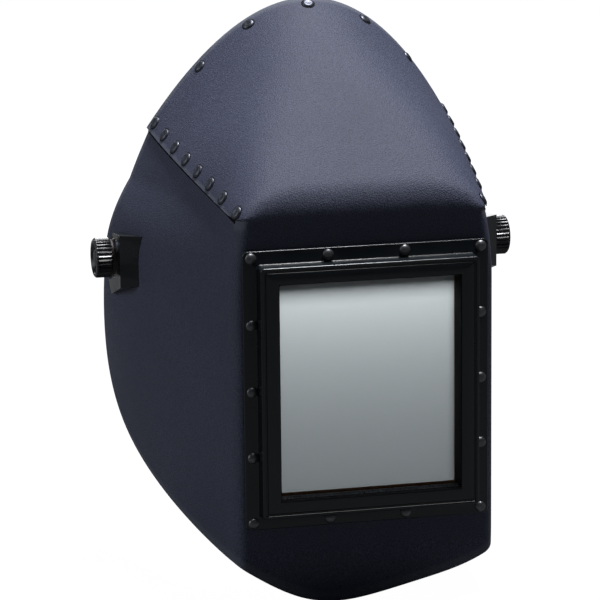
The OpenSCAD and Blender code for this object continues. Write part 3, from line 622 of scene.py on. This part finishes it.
def build_shell():
    """One folded sheet: a grid for front and sides, the flaps, and the crown from the front's top row."""
    points, ids, faces = [], {}, []

    def add(key, p):
        if key not in ids:
            ids[key] = len(points)
            points.append(p)
        return ids[key]

    def wide(i, j):
        if i <= WIDE_N // 2:
            return half_point(i, j, -1)
        return half_point(WIDE_N - i, j, 1)

    for i in range(WIDE_N + 1):
        for j in range(RISE_N + 1):
            p = wide(i, j)
            if i >= SIDE_N + FOLD_N and i <= WIDE_N - SIDE_N - FOLD_N:  # settle the grid on the window's cut
                dz = p[2] - WINDOW_Z
                if abs(abs(p[0]) - HOLE_HALF_W) < FLAT_HALF / FLAT_N and abs(dz) < HOLE_HALF_H + 3:
                    p[0] = math.copysign(HOLE_HALF_W, p[0])
                if abs(abs(dz) - HOLE_HALF_H) < 2.0 and abs(p[0]) < HOLE_HALF_W + 3:
                    p[2] = WINDOW_Z + math.copysign(HOLE_HALF_H, dz)
            add(("w", i, j), p)
    for i in range(WIDE_N):
        for j in range(RISE_N):
            quad = [ids["w", a, b] for a, b in ((i, j), (i + 1, j), (i + 1, j + 1), (i, j + 1))]
            mid = sum(points[q] for q in quad) / 4
            if abs(mid[0]) < HOLE_HALF_W and abs(mid[2] - WINDOW_Z) < HOLE_HALF_H and mid[1] < FOLD_Y:
                continue
            faces.append(quad)
    for side, column in ((-1, lambda i: i), (1, lambda i: WIDE_N - i)):
        for i in range(SIDE_N):
            for a in (i, i + 1):
                edge = points[ids["w", column(a), RISE_N]]
                add(("f", side, a), flap_point(a, side) if a < SIDE_N else edge)
            low = (ids["w", column(i), RISE_N], ids["w", column(i + 1), RISE_N])
            if i + 1 == SIDE_N:
                faces.append([low[0], low[1], ids["f", side, i]])
            else:
                faces.append([low[0], low[1], ids["f", side, i + 1], ids["f", side, i]])
    span_n = WIDE_N - 2 * CORNER_I
    first = points[ids["w", CORNER_I, RISE_N]][0]
    for i in range(span_n + 1):
        k = points[ids["w", CORNER_I + i, RISE_N]][0] / abs(first)
        for j in range(CROWN_N + 1):
            if j == 0:
                ids["c", i, 0] = ids["w", CORNER_I + i, RISE_N]
                continue
            if j <= CORNER_N:
                s = CORNER_SHARE * j / CORNER_N
            else:
                s = mix(CORNER_SHARE, 1, (j - CORNER_N) / (CROWN_N - CORNER_N))
            add(("c", i, j), crown_point(s, k))
    for i in range(span_n):
        for j in range(CROWN_N):
            faces.append([ids["c", a, b] for a, b in ((i, j), (i + 1, j), (i + 1, j + 1), (i, j + 1))])
    used = sorted({q for f in faces for q in f})
    index = {q: n for n, q in enumerate(used)}
    return [points[q] for q in used], [[index[q] for q in f] for f in faces]


shell = new_object("shell_sheet", *build_shell(), crease=80)
if shell.data.polygons[0].normal.dot(shell.data.polygons[0].center) < 0:
    shell.data.flip_normals()
solid = shell.modifiers.new("sheet", "SOLIDIFY")
solid.thickness, solid.offset = SHEET * MM, -1
for _ in range(2):
    shell.data.materials.append(None)
solid.material_offset_rim = 1           # marks the sheet's cut edges, which get a darker material: painted shade along edges and seams
bevelled(shell, 0.18, 2, 50)
applied(shell)
shell.data.polygons.foreach_set("use_smooth", [True] * len(shell.data.polygons))
shell.data.set_sharp_from_angle(angle=math.radians(50))
edge_faces = [face.material_index for face in shell.data.polygons]
dress(shell, "fibre", "shell", "fibre_shell")
# the cut edges' darker material is painted shade along the sheet's edges and seams
shell.data.materials.append(MATERIALS["shaded_cut_edge"])
shell.data.polygons.foreach_set("material_index", edge_faces)

SHADE_LINE_N, SHADE_LINE_H, SHADE_LINE_W = 48, 1.15, 0.42     # steps along the shade line, and its half height and half width


def seam_shade_line(name, side):
    """Flat dark strip along the side panel, right under the crown's edge: painted shade under the crown's
    overhang.
    """
    loops = []
    for i in range(SHADE_LINE_N + 1):
        y = mix(FOLD_Y + 1, SEAM_REAR[0] - 0.2, i / SHADE_LINE_N)
        mid = seam_z(y) - SHADE_LINE_H - 0.3
        around = [(math.cos(a), mid + SHADE_LINE_H * math.sin(a)) for a in [math.tau * q / 12 for q in range(12)]]
        loops.append([(side * (side_x(y, z) + 0.1 + SHADE_LINE_W * c), y, z) for c, z in around])
    # near-black strip: painted shade right under the crown's edge
    dress(new_object(name, *loft(loops)), "fibre", "shell", look="painted_shade")


for side, name in ((-1, "left"), (1, "right")):
    seam_shade_line("seam_bead_" + name, side)

# ---------------------------------------------------------------- window frame moulding
hw, hh = PLATE_W / 2, PLATE_H / 2
LIP_BACK = FRONT_Y + 1                  # planes of the frame, front to back
FLANGE_Y = FRONT_Y - 2.5
BOX_BACK = FRONT_Y + 15
FLANGE_W, FLANGE_H = 14.15, 13.5        # how far the flange reaches past the plate
BEZEL_W, BEZEL_H = 6.0, 5.25            # and the raised bezel
ROUND, LIP_ROUND = 0.7, 0.8             # radii of the outer edges and of the lip


def past_plate(w, h, r, y):
    """Row of the frame that reaches w and h past the plate, with corner radius r."""
    return hw + w, hh + h, r, y


frame_rows = [past_plate(FLANGE_W, FLANGE_H, 3, FRONT_Y),
              past_plate(FLANGE_W, FLANGE_H, 3, FLANGE_Y + ROUND)]
frame_rows += [past_plate(FLANGE_W - a, FLANGE_H - a, 3 - a * 0.5, FLANGE_Y + ROUND - b)
               for a, b in round_steps(ROUND)[1:]]
frame_rows += [past_plate(7.0, 6.2, 2.6, FLANGE_Y), past_plate(6.5, 5.75, 2.3, FLANGE_Y - 0.35),
               past_plate(6.25, 5.5, 2.1, FLANGE_Y - 1.0),
               past_plate(BEZEL_W, BEZEL_H, 2.0, BEZEL_Y + ROUND)]
frame_rows += [past_plate(BEZEL_W - a, BEZEL_H - a, 2.0, BEZEL_Y + ROUND - b)
               for a, b in round_steps(ROUND)[1:]]
frame_rows += [past_plate(w, h, r, BEZEL_Y + d) for w, h, r, d in (          # groove round the bezel's face
    (4.5, 3.75, 1.5, 0), (4.2, 3.45, 1.4, 0.25), (4.0, 3.25, 1.3, 0.8), (3.3, 2.55, 1.2, 0.8),
    (3.0, 2.25, 1.1, 0.35), (2.6, 1.85, 1.0, 0.15))]
frame_rows += [past_plate(LIP_ROUND - LIP - b, LIP_ROUND - LIP - b, 0.9, BEZEL_Y + 0.15 + a)
               for a, b in round_steps(LIP_ROUND)]
frame_rows += [past_plate(-LIP, -LIP, 0.8, LIP_BACK), past_plate(0.5, 0.5, 0.8, LIP_BACK),
               past_plate(0.5, 0.5, 0.8, BOX_BACK - 0.3), past_plate(0.8, 0.8, 0.8, BOX_BACK),
               past_plate(3.2, 3.2, 1.8, BOX_BACK), past_plate(3.5, 3.5, 2, BOX_BACK - 0.3),
               past_plate(3.5, 3.5, 2, FRONT_Y)]
rings = [rect_loop(*row) for row in frame_rows]
moulding = new_object("window_moulding", *loft(rings, closed=True), crease=38)
dress(moulding, "moulding", "shell", "window_frame")
moulding.data.materials.append(MATERIALS["recess_shade"])
for face in moulding.data.polygons:     # the opening's walls get a darker, nearly shineless material: painted shade inside the aperture
    x, z = face.center.x / MM, face.center.z / MM - WINDOW_Z
    face.material_index = 1 if abs(x) < hw - LIP + 0.5 and abs(z) < hh - LIP + 0.5 else 0

# Stepped sill inside the aperture's lower edge: a board edge and two bright steel strips, painted
# reflections of the lip's edges in the glass.
sill_z = WINDOW_Z - hh + LIP


def sill_strip(name, slot, y, rise, thick):
    half = hw - LIP - 0.1
    section = [(y, -0.2), (y, rise - 0.2), (y + 0.2, rise), (y + thick - 0.2, rise), (y + thick, rise - 0.2),
               (y + thick, -0.2)]
    loops = [[(x, a, sill_z + b) for a, b in section] for x in (-half, half)]
    dress(new_object(name, *loft(loops)), slot, "shell")


sill_strip("sill_board", "gasket", BEZEL_Y + 10.2, 2.0, 1.1)
# bright steel strips: painted reflections along the sill
sill_strip("sill_plate_a", "steel", BEZEL_Y + 6.9, 1.15, 0.55)
sill_strip("sill_plate_b", "steel", BEZEL_Y + 4.2, 0.6, 0.55)

# ---------------------------------------------------------------- rivets


def tubular_head(d, h):
    """Domed head with a shallow dished middle, shank below."""
    r = d / 2
    head = [(0.0, 0.80), (0.16, 0.80), (0.34, 0.86), (0.50, 1.0), (0.66, 0.97), (0.82, 0.74), (0.94, 0.42),
            (1.0, 0.12), (1.0, 0.0)]
    shank = [(0.9, -0.05), (0.45, -0.05), (0.45, -3.9), (0.70, -3.95), (0.66, -4.9), (0.0, -5.0)]
    return lathe([(r * a, h * b) for a, b in head] + [(r * a, b) for a, b in shank])


def rivet_shade_ring(d):
    """Dark ring round a rivet's head: painted shade where the head meets the sheet."""
    r = d / 2 + 0.55
    return lathe([(0.0, 0.14), (r - 0.1, 0.14), (r, 0.04), (r, -0.1), (0.0, -0.1)])


def dome_head(d, h, grip, tail):
    """Domed rivet with its shank through the grip and a closed end of width tail."""
    r = d / 2
    arc = [(r * math.sin(a), h * math.cos(a)) for a in [math.pi / 2 * i / 7 for i in range(8)]]
    return lathe(arc + [(r, -0.05), (r * 0.5, -0.05), (r * 0.5, -grip), (tail / 2, -grip),
                        (tail * 0.42, -grip - 0.8), (0.0, -grip - 1)])


SEAM_HEAD, EDGE_HEAD = (7.6, 1.15), (7.2, 1.1)      # width and height of the shell's rivet heads
SEAM_K, EDGE_S = 0.965, 0.955                       # the rows' places on the crown
RIVET_PITCH = 19.4
seam_ys = [FOLD_Y + 4 + RIVET_PITCH * i + (1.5 if i == 0 else 0) for i in range(8)]


def rivet_row(name, node, d, h, spots):
    """Heads on the crown's sheet at (s, k) spots, and a dark ring of painted shade round each head, all
    rings as one piece.
    """
    spots = [(crown_point(s, k), crown_normal(s, k)) for s, k in spots]
    heads = joined([placed(tubular_head(d, h), at, normal) for at, normal in spots])
    dress(new_object(name, *heads), "rivet", "shell", node)
    # dark rings round the heads: painted shade where each head meets the sheet
    rivet_shade_rings = joined([placed(rivet_shade_ring(d), at, normal) for at, normal in spots])
    dress(new_object(name + "_seats", *rivet_shade_rings), "rivet", "shell", look="painted_shade")


for side, name in ((-1, "left"), (1, "right")):
    rivet_row("seam_rivet_row_" + name, "seam_rivets_" + name, *SEAM_HEAD,
              [(seam_share(y), side * SEAM_K) for y in seam_ys])
rivet_row("crown_rivet_row", "crown_rivets", *EDGE_HEAD,
          [(EDGE_S, k) for k in (-0.69, -0.385, 0, 0.385, 0.69)])

screw_w, screw_h = PLATE_W + 19, PLATE_H + 19.05     # the rectangle that the frame rivets stand on
screws = [(screw_w * (i / 3 - 0.5), z * screw_h / 2) for i in range(4) for z in (-1, 1)]
screws += [(x * screw_w / 2, screw_h * (j / 4 - 0.5)) for j in (1, 2, 3) for x in (-1, 1)]
rivet = dome_head(6.4, 1.9, 7.2, 5.2)
row = [placed(rivet, (x, FLANGE_Y - 0.05, WINDOW_Z + z), (0, -1, 0)) for x, z in screws]
dress(new_object("frame_rivet_row", *joined(row)), "rivet", "shell", "frame_rivets", look="stud")

# ---------------------------------------------------------------- tilt pivots: blocks and friction knobs
BLOCK_FACE = span("pivot_block_right")[1][0]
KNOB_BACK, KNOB_FACE = knob_low[0], knob_high[0]
KNOB_R = (knob_high[1] - knob_low[1]) / 2
STUD_R = 5.0
BLOCK_FOOT_X = 104.0
# (y, z) outlines of a block at its outer face and at BLOCK_FOOT_X.
BLOCK_TOP = [(-20.5, 16.5), (0, 14.5), (17, 4), (17, -18), (9, -24.3), (-20.5, -15)]
BLOCK_FOOT = [(-33, 17.5), (0, 15.5), (18, 4.5), (18, -18.5), (9.5, -25.3), (-33, -11.5)]
# (radius, depth) of the groove round the stud.
GROOVE = [(12.6, 0), (12.2, 0.5), (11.2, 0.5), (10.8, 0), (STUD_R + 0.1, 0)]
PANEL_GAP = 0.25


def edge_points(outline, steps=7):
    """Points along a closed outline, several on each edge."""
    out = []
    for (y, z), (y2, z2) in zip(outline, outline[1:] + outline[:1]):
        out += [(mix(y, y2, i / steps), mix(z, z2, i / steps)) for i in range(steps)]
    return out


def on_panel(foot, top):
    """Where the line from a foot point to a top point meets the side panel."""
    t = 0.3
    for _ in range(12):
        y, z = mix(foot[0], top[0], t), mix(foot[1], top[1], t)
        t = clamp((side_x(y, z) + PANEL_GAP - BLOCK_FOOT_X) / (BLOCK_FACE - BLOCK_FOOT_X), 0, 0.97)
    return mix(BLOCK_FOOT_X, BLOCK_FACE, t), mix(foot[0], top[0], t), mix(foot[1], top[1], t)


def ring_like(loop, r, x, side):
    """Circle with one point for each point of a loop, at the same angles."""
    out = []
    for _, y, z in loop:
        a = math.atan2(z, y)
        out.append((side * x, r * math.cos(a), r * math.sin(a)))
    return out


for side, name in ((-1, "left"), (1, "right")):
    foot, face = edge_points(BLOCK_FOOT), edge_points(BLOCK_TOP)
    base = [(side * x, y, z) for x, y, z in (on_panel(f, q) for f, q in zip(foot, face))]
    rows = [base, [(side * BLOCK_FACE, y, z) for y, z in face]]
    rows += [ring_like(rows[1], r, BLOCK_FACE - depth, side) for r, depth in GROOVE]
    rows.append([(side * (side_x(y, z) + PANEL_GAP), y, z) for _, y, z in rows[-1]])
    block = new_object("pivot_block_cover_" + name, *loft(rows, closed=True), crease=38)
    bevelled(block, 1.6, 3, 24)
    applied(block)
    dress(block, "moulding", "shell", "pivot_block_" + name, look="block")


def fluted(rows, flutes, n_per=8):
    """Turned shape with soft flutes: rows of (radius, height, flute depth)."""
    n = flutes * n_per
    loops = []
    for r, z, depth in rows:
        loop = []
        for i in range(n):
            a = 2 * math.pi * i / n
            dip = 0.5 - 0.5 * math.cos(flutes * a)
            k = r - depth * dip ** 0.7
            loop.append((k * math.cos(a), k * math.sin(a), z))
        loops.append(loop)
    return loft(loops)


knob_len = KNOB_FACE - KNOB_BACK
FLUTE = 0.95
# The fluted grip is rows of (inset from the knob's radius, height, flute depth), from its back to its face.
# The face, with a rim and a raised middle, is rows of (inset, drop from the face).
grip = [(1.6, 0.0, 0), (0.9, 0.15, 0), (0.2, 0.7, 0.5), (0, 1.2, FLUTE), (0, knob_len - 1.5, FLUTE),
        (0.15, knob_len - 0.9, 0.6), (0.6, knob_len - 0.35, 0.2), (1.1, knob_len - 0.08, 0)]
face = [(1.6, 0), (2.5, 0), (3.0, 0.3), (3.4, 1.3), (4.4, 1.9), (6.4, 1.9), (7.0, 1.5), (7.4, 0.8),
        (8.0, 0.55)]
knob_rows = [(0, 2.2, 0), (7.8, 2.2, 0), (8.0, 0.0, 0)]
knob_rows += [(KNOB_R - inset, z, depth) for inset, z, depth in grip]
knob_rows += [(KNOB_R - inset, knob_len - drop, 0) for inset, drop in face]
knob_rows += [(0.4, knob_len - 0.5, 0), (0, knob_len - 0.5, 0)]
for side, name in ((-1, "left"), (1, "right")):
    points, faces = placed(fluted(knob_rows, 30), (side * KNOB_BACK, 0, 0), (side, 0, 0))
    cover = new_object("friction_knob_cover_" + name, points, faces, crease=42)
    dress(cover, "knob", "knob_" + name, "friction_knob_" + name)

# ---------------------------------------------------------------- headgear, drawn in its own tilted frame
TILT = Matrix.Rotation(-math.radians(15), 4, "X")
BAND_W, BAND_L, BAND_Y = 164.0, 200.0, 6.0          # the head oval: width, length and centre
BAND_LOW, BAND_H, BAND_T = -2.0, 26.0, 2.0          # the headband's lower edge, height and thickness
NAPE_Z = BAND_LOW + BAND_H / 2
RACK_Y = BAND_Y + BAND_L / 2 - 7.9                  # the racks' inner face in the ratchet housing
HOUSE_BACK = RACK_Y + 4.9                           # the housing's outer face


def tilted(points):
    """Points of the headgear's own frame, turned into the helmet's."""
    return [tuple(TILT @ Vector(tuple(float(c) for c in p))) for p in points]


def oval(theta, inset=0.0):
    """(x, y) on the head oval at theta degrees from the forehead."""
    a = math.radians(theta)
    return (BAND_W / 2 - inset) * math.sin(a), BAND_Y - (BAND_L / 2 - inset) * math.cos(a)


def strip_section(t, low, high, r=0.7, rib=0.35):
    """Cross-section (depth, height) of a moulded strip with raised edges on its outer face (depth 0)."""
    back = [(r, low), (t - r, low), (t, low + r), (t, high - r), (t - r, high), (r, high)]
    edge = [(0.15, 0.3), (0.0, r + 0.3), (0.0, 2.6), (rib, 3.2)]
    return back + [(d, high - z) for d, z in edge] + [(d, low + z) for d, z in reversed(edge)]


def oval_sweep(a, b, section):
    """A section swept along the head oval from angle a to angle b."""
    n = int((b - a) / 2)
    loops = [[(*oval(mix(a, b, i / n), d), z) for d, z in section] for i in range(n + 1)]
    points, faces = loft(loops)
    return tilted(points), faces


band = oval_sweep(-115, 115, strip_section(BAND_T, BAND_LOW, BAND_LOW + BAND_H))
dress(new_object("headband_front", *band), "band", "headgear", "front_band")

# Rear straps: one flexible strip each, from the headband's end to its rack at the housing.
STRAP_N = 44
STRAP_START, STRAP_END = 97, 157.5                  # degrees along the oval


def rear_strap(name, side):
    """Strip that follows the head oval and runs out straight onto its rack, short of the ratchet housing."""
    loops = []
    for i in range(STRAP_N + 1):
        theta = mix(STRAP_START, STRAP_END, i / STRAP_N)
        straight = smooth((theta - 143) / 13)
        x, y = oval(theta, BAND_T + 0.1)
        inward = np.array(oval(theta, BAND_T + 1.1)) - (x, y)
        inward = mix(inward / np.linalg.norm(inward), np.array([0.0, -1.0]), straight)
        inward /= np.linalg.norm(inward)
        y = mix(y, RACK_Y + 2.0, straight)
        half = mix(11.0, 10.0, smooth((theta - 150) / 6))
        section = strip_section(1.9, NAPE_Z - half, NAPE_Z + half, 0.6, 0.3)
        loops.append([(side * (x + inward[0] * q), y + inward[1] * q, z) for q, z in section])
    points, faces = loft(loops)
    return new_object(name, tilted(points), faces)


for side, name in ((-1, "left"), (1, "right")):
    strap = dress(rear_strap("rear_strap_" + name, side), "band", None, "rear_band_" + name)
    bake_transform(strap)


WEB_IN, WEB_RISE = BAND_W / 2 + 0.15, 64.0          # half width and height of the arch over the head
WEB_T, WEB_W, WEB_Y = 1.6, 16.0, 8.0                # the strap's thickness, width and place along y
WEB_FOOT = BAND_LOW + BAND_H
WEB_TOP = 104                                       # degrees that each half reaches over the head


def web_section(w):
    """(depth, y) round a strap of half width w, with raised edges on its outer face."""
    inner = [(0.0, 0.5), (0.25, 0.0)]
    outer = [(WEB_T - 0.4, 0.0), (WEB_T, 0.6), (WEB_T, 2.0), (WEB_T - 0.35, 2.6)]
    half = [(d, e - w) for d, e in inner + outer]
    return half + [(d, -y) for d, y in reversed(half)]


def crown_strap(name, side, extra):
    """Half of the strap over the head, with its foot on the headband; extra lifts the upper one."""
    rise = WEB_RISE + extra
    path = [(WEB_IN, WEB_FOOT - 18 + i * 3, 1.0, 0.0) for i in range(6)]
    for i in range(41):
        c, s = math.cos(math.radians(WEB_TOP * i / 40)), math.sin(math.radians(WEB_TOP * i / 40))
        length = math.hypot(c / WEB_IN, s / rise)
        path.append((WEB_IN * c, WEB_FOOT + rise * s, c / WEB_IN / length, s / rise / length))
    loops = []
    for k, (x, z, nx, nz) in enumerate(path):
        from_end = min(k, len(path) - 1 - k)
        w = WEB_W / 2 * math.sqrt(1 - 0.75 * max(0, 1 - from_end / 3) ** 2)
        loops.append([(side * (x + nx * d), WEB_Y + y, z + nz * d) for d, y in web_section(w)])
    points, faces = loft(loops)
    web = new_object(name, tilted(points), faces)
    dress(web, "band", "headgear", "crown_strap_left" if side < 0 else "crown_strap_right")


crown_strap("crown_strap_web_right", 1, 0)
crown_strap("crown_strap_web_left", -1, 2.0)

# Ratchet knob with soft grip flutes: (radius, height, flute depth) from its back to its face.
GRIP = [(0, 1.9, 0), (4.2, 1.9, 0), (4.3, 0, 0), (14.5, 0, 0), (16.4, 0.2, 0), (17.3, 0.9, 0.7),
        (18, 2.0, 1.5), (18, 9.2, 1.5), (17.6, 10.6, 1.2), (16.6, 11.8, 0.7), (15.2, 12.7, 0.2),
        (14.0, 13.0, 0)]
GRIP_FACE = [(12.2, 13.0), (11.5, 12.6), (11.0, 11.4), (10.2, 11.0), (3.6, 11.0), (3.1, 11.3), (2.8, 12.2),
             (2.0, 12.5), (0, 12.5)]
grip_rows = GRIP + [(radius, z, 0) for radius, z in GRIP_FACE]
points, faces = placed(fluted(grip_rows, 18, 12), (0, HOUSE_BACK + 2.6, NAPE_Z), (0, 1, 0))
dress(new_object("ratchet_grip", tilted(points), faces, crease=45), "knob", "ratchet", "ratchet_knob")

# ---------------------------------------------------------------- soft pads by cloth simulation


def pad_blank(a, b, inset, t, low, high):
    """Rounded strip along the oval, slightly smaller than the space that the pad fills."""
    loops = []
    n = int(abs(b - a) / 3)
    mid = (low + high) / 2
    for i in range(n + 1):
        end = math.sqrt(1 - max(0.0, 1 - min(i, n - i) / 3) ** 2 * 0.8)
        half = (high - low) / 2 * (0.35 + 0.65 * end)
        depth = t / 2 * end
        ring = []
        for q in range(16):
            c, s = math.cos(math.tau * q / 16), math.sin(math.tau * q / 16)
            ring.append((inset + t / 2 + depth * math.copysign(abs(c) ** 0.5, c),
                         mid + half * math.copysign(abs(s) ** 0.35, s)))
        loops.append([(*oval(mix(a, b, i / n), d), z) for d, z in ring])
    points, faces = loft(loops)
    return tilted(points), faces


CLOTH_FRAMES = 20


def inflate(o, voxel, pressure, cap):
    """Remeshes the blank and blows it up as cloth, with no point moving more than cap from its start."""
    scene = bpy.context.scene
    m = o.modifiers.new("remesh", "REMESH")
    m.mode, m.voxel_size = "VOXEL", voxel * MM
    applied(o)
    start = np.array([v.co for v in o.data.vertices])
    m = o.modifiers.new("cloth", "CLOTH")
    c = m.settings
    c.quality = 6
    c.mass = 0.15
    c.tension_stiffness = c.compression_stiffness = 18
    c.shear_stiffness = 8
    c.bending_stiffness = 0.6
    c.use_pressure = True
    c.uniform_pressure_force = pressure
    c.effector_weights.gravity = 0
    m.point_cache.frame_start, m.point_cache.frame_end = 1, CLOTH_FRAMES
    for f in range(1, CLOTH_FRAMES + 1):
        scene.frame_set(f)
    applied(o)
    scene.frame_set(1)
    co = np.array([v.co for v in o.data.vertices])
    move = co - start
    size = np.linalg.norm(move, axis=1, keepdims=True)
    co = start + move * np.minimum(1, cap * MM / np.maximum(size, 1e-9))
    o.data.vertices.foreach_set("co", co.ravel())
    sub = o.modifiers.new("sub", "SUBSURF")
    sub.levels = sub.render_levels = 1
    applied(o)
    o.data.polygons.foreach_set("use_smooth", [True] * len(o.data.polygons))


sweat_blank = pad_blank(-75, 75, BAND_T + 1.7, 4.4, BAND_LOW - 0.6, BAND_LOW + BAND_H + 0.6)
sweat = new_object("sweatband_pad", *sweat_blank)
nape = new_object("nape_cushion", *pad_blank(148, 212, 10.9, 6.8, NAPE_Z - 15.2, NAPE_Z + 15.2))
inflate(sweat, 4.0, 4.0, 0.9)
inflate(nape, 4.0, 4.0, 1.2)
dress(sweat, "pad", "headgear", "sweatband")
dress(nape, "pad", "headgear", "nape_pad")

# ---------------------------------------------------------------- floor, light and camera


def look_at(o, target):
    """Turns an object's -Z to a point."""
    o.rotation_mode = "QUATERNION"
    o.rotation_quaternion = (Vector(target) - o.location).to_track_quat("-Z", "Y")


def area(name, at, target, size, watts, colour=(1, 1, 1), receivers=None):
    """Square lamp that faces a point; with receivers, it lights only those objects."""
    light = bpy.data.lights.new(name, "AREA")
    light.energy, light.size, light.color = watts, size, colour
    o = bpy.data.objects.new(name, light)
    bpy.context.scene.collection.objects.link(o)
    o.location = at
    look_at(o, target)
    if receivers:
        group = bpy.data.collections.new(name + "_on")
        for r in receivers:
            group.objects.link(r)
        o.light_linking.receiver_collection = group


def pale(name, seen, bounce):
    """Surface that the camera sees as pale and that throws only a little light back on the object."""
    s = Shade(name)
    path = s.node("ShaderNodeLightPath")
    flat = s.node("ShaderNodeEmission")
    flat.inputs["Color"].default_value = (seen, seen, seen, 1)
    dull = s.node("ShaderNodeBsdfDiffuse")
    tone = s.blend(s.noise(5, 3.0), (bounce, bounce, bounce), (bounce * 1.06, bounce * 1.06, bounce * 1.06))
    s.wire(tone, dull.inputs["Color"])
    soft = s.node("ShaderNodeBsdfDiffuse")
    soft.inputs["Color"].default_value = (0.85, 0.85, 0.85, 1)
    look = s.node("ShaderNodeMixShader")
    look.inputs[0].default_value = 0.06
    s.wire(flat.outputs[0], look.inputs[1])
    s.wire(soft.outputs[0], look.inputs[2])
    both = s.node("ShaderNodeMixShader")
    s.wire(path.outputs["Is Camera Ray"], both.inputs[0])
    s.wire(dull.outputs[0], both.inputs[1])
    s.wire(look.outputs[0], both.inputs[2])
    s.wire(both.outputs[0], s.t.nodes["Material Output"].inputs["Surface"])
    return s.m


FLOOR_HALF = 14000.0
floor_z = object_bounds()[0][2] / MM - 0.5
corners = [(x * FLOOR_HALF, y * FLOOR_HALF, floor_z) for x, y in ((-1, -1), (1, -1), (1, 1), (-1, 1))]
floor = new_object("floor", corners, [(0, 1, 2, 3)])
floor.data.materials.append(pale("pale_floor", 1.05, 0.12))

# The camera sees a white room; the object gets only a faint cool light from it.
world = bpy.data.worlds.new("studio")
bpy.context.scene.world = world
world.use_nodes = True
t = world.node_tree
back = t.nodes["Background"]
back.inputs["Color"].default_value = (0.80, 0.88, 1.0, 1)
back.inputs["Strength"].default_value = 0.035
white = t.nodes.new("ShaderNodeBackground")
white.inputs["Color"].default_value = (1, 1, 1, 1)
path = t.nodes.new("ShaderNodeLightPath")
both = t.nodes.new("ShaderNodeMixShader")
t.links.new(path.outputs["Is Camera Ray"], both.inputs[0])
t.links.new(back.outputs[0], both.inputs[1])
t.links.new(white.outputs[0], both.inputs[2])
t.links.new(both.outputs[0], t.nodes["World Output"].inputs["Surface"])

area("key", (0.55, 0.25, 2.86), (0.0, -0.06, 0.08), 0.8, 136, (0.95, 0.97, 1.0))
area("left_fill", (-1.6, 0.15, 0.55), (-0.08, -0.03, 0.0), 1.0, 6.5, (0.88, 0.93, 1.0))
area("rear_fill", (0.1, 1.3, 0.25), (0.0, 0.0, 0.0), 0.9, 5)
area("window_light", (0.0, -0.62, 0.34), (0.0, -0.145, -0.03), 0.30, 7.5,
     receivers=[NODES["filter_plate"]])
area("edge_light", (0.3, -0.45, 1.7), (0.0, -0.08, 0.0), 0.8, 15,
     receivers=[bpy.data.objects[p] for p in (
         "friction_knob_cover_left", "friction_knob_cover_right", "pivot_block_cover_left",
         "pivot_block_cover_right", "window_moulding", "frame_rivet_row")])

# The camera looks from the front, a little to the wearer's right and above.
ELEVATION, TURN, ROLL = math.radians(11.137), math.radians(13.942), math.radians(0.570)
DISTANCE, LENS = 2.0, 198.877           # metres and millimetres
AIM_RIGHT, AIM_DOWN = -1.518, 32.697    # millimetres from the frame's origin to the point aimed at
away = Vector((-math.sin(TURN), -math.cos(TURN), math.tan(ELEVATION))).normalized()
right = Vector((0, 0, 1)).cross(away).normalized()
up = away.cross(right)
right, up = math.cos(ROLL) * right - math.sin(ROLL) * up, math.cos(ROLL) * up + math.sin(ROLL) * right
target = (right * AIM_RIGHT - up * AIM_DOWN) * MM
camera_data = bpy.data.cameras.new("camera")
camera_data.sensor_width = 36
camera_data.lens = LENS
camera_data.clip_end = 100
camera = bpy.data.objects.new("camera", camera_data)
bpy.context.scene.collection.objects.link(camera)
camera.location = away * DISTANCE
z_axis = (camera.location - target).normalized()
x_axis = up.cross(z_axis).normalized()
y_axis = z_axis.cross(x_axis)
camera.rotation_mode = "QUATERNION"
camera.rotation_quaternion = Matrix((x_axis, y_axis, z_axis)).transposed().to_quaternion()
bpy.context.scene.camera = camera
bpy.context.scene.view_settings.view_transform = "Standard"
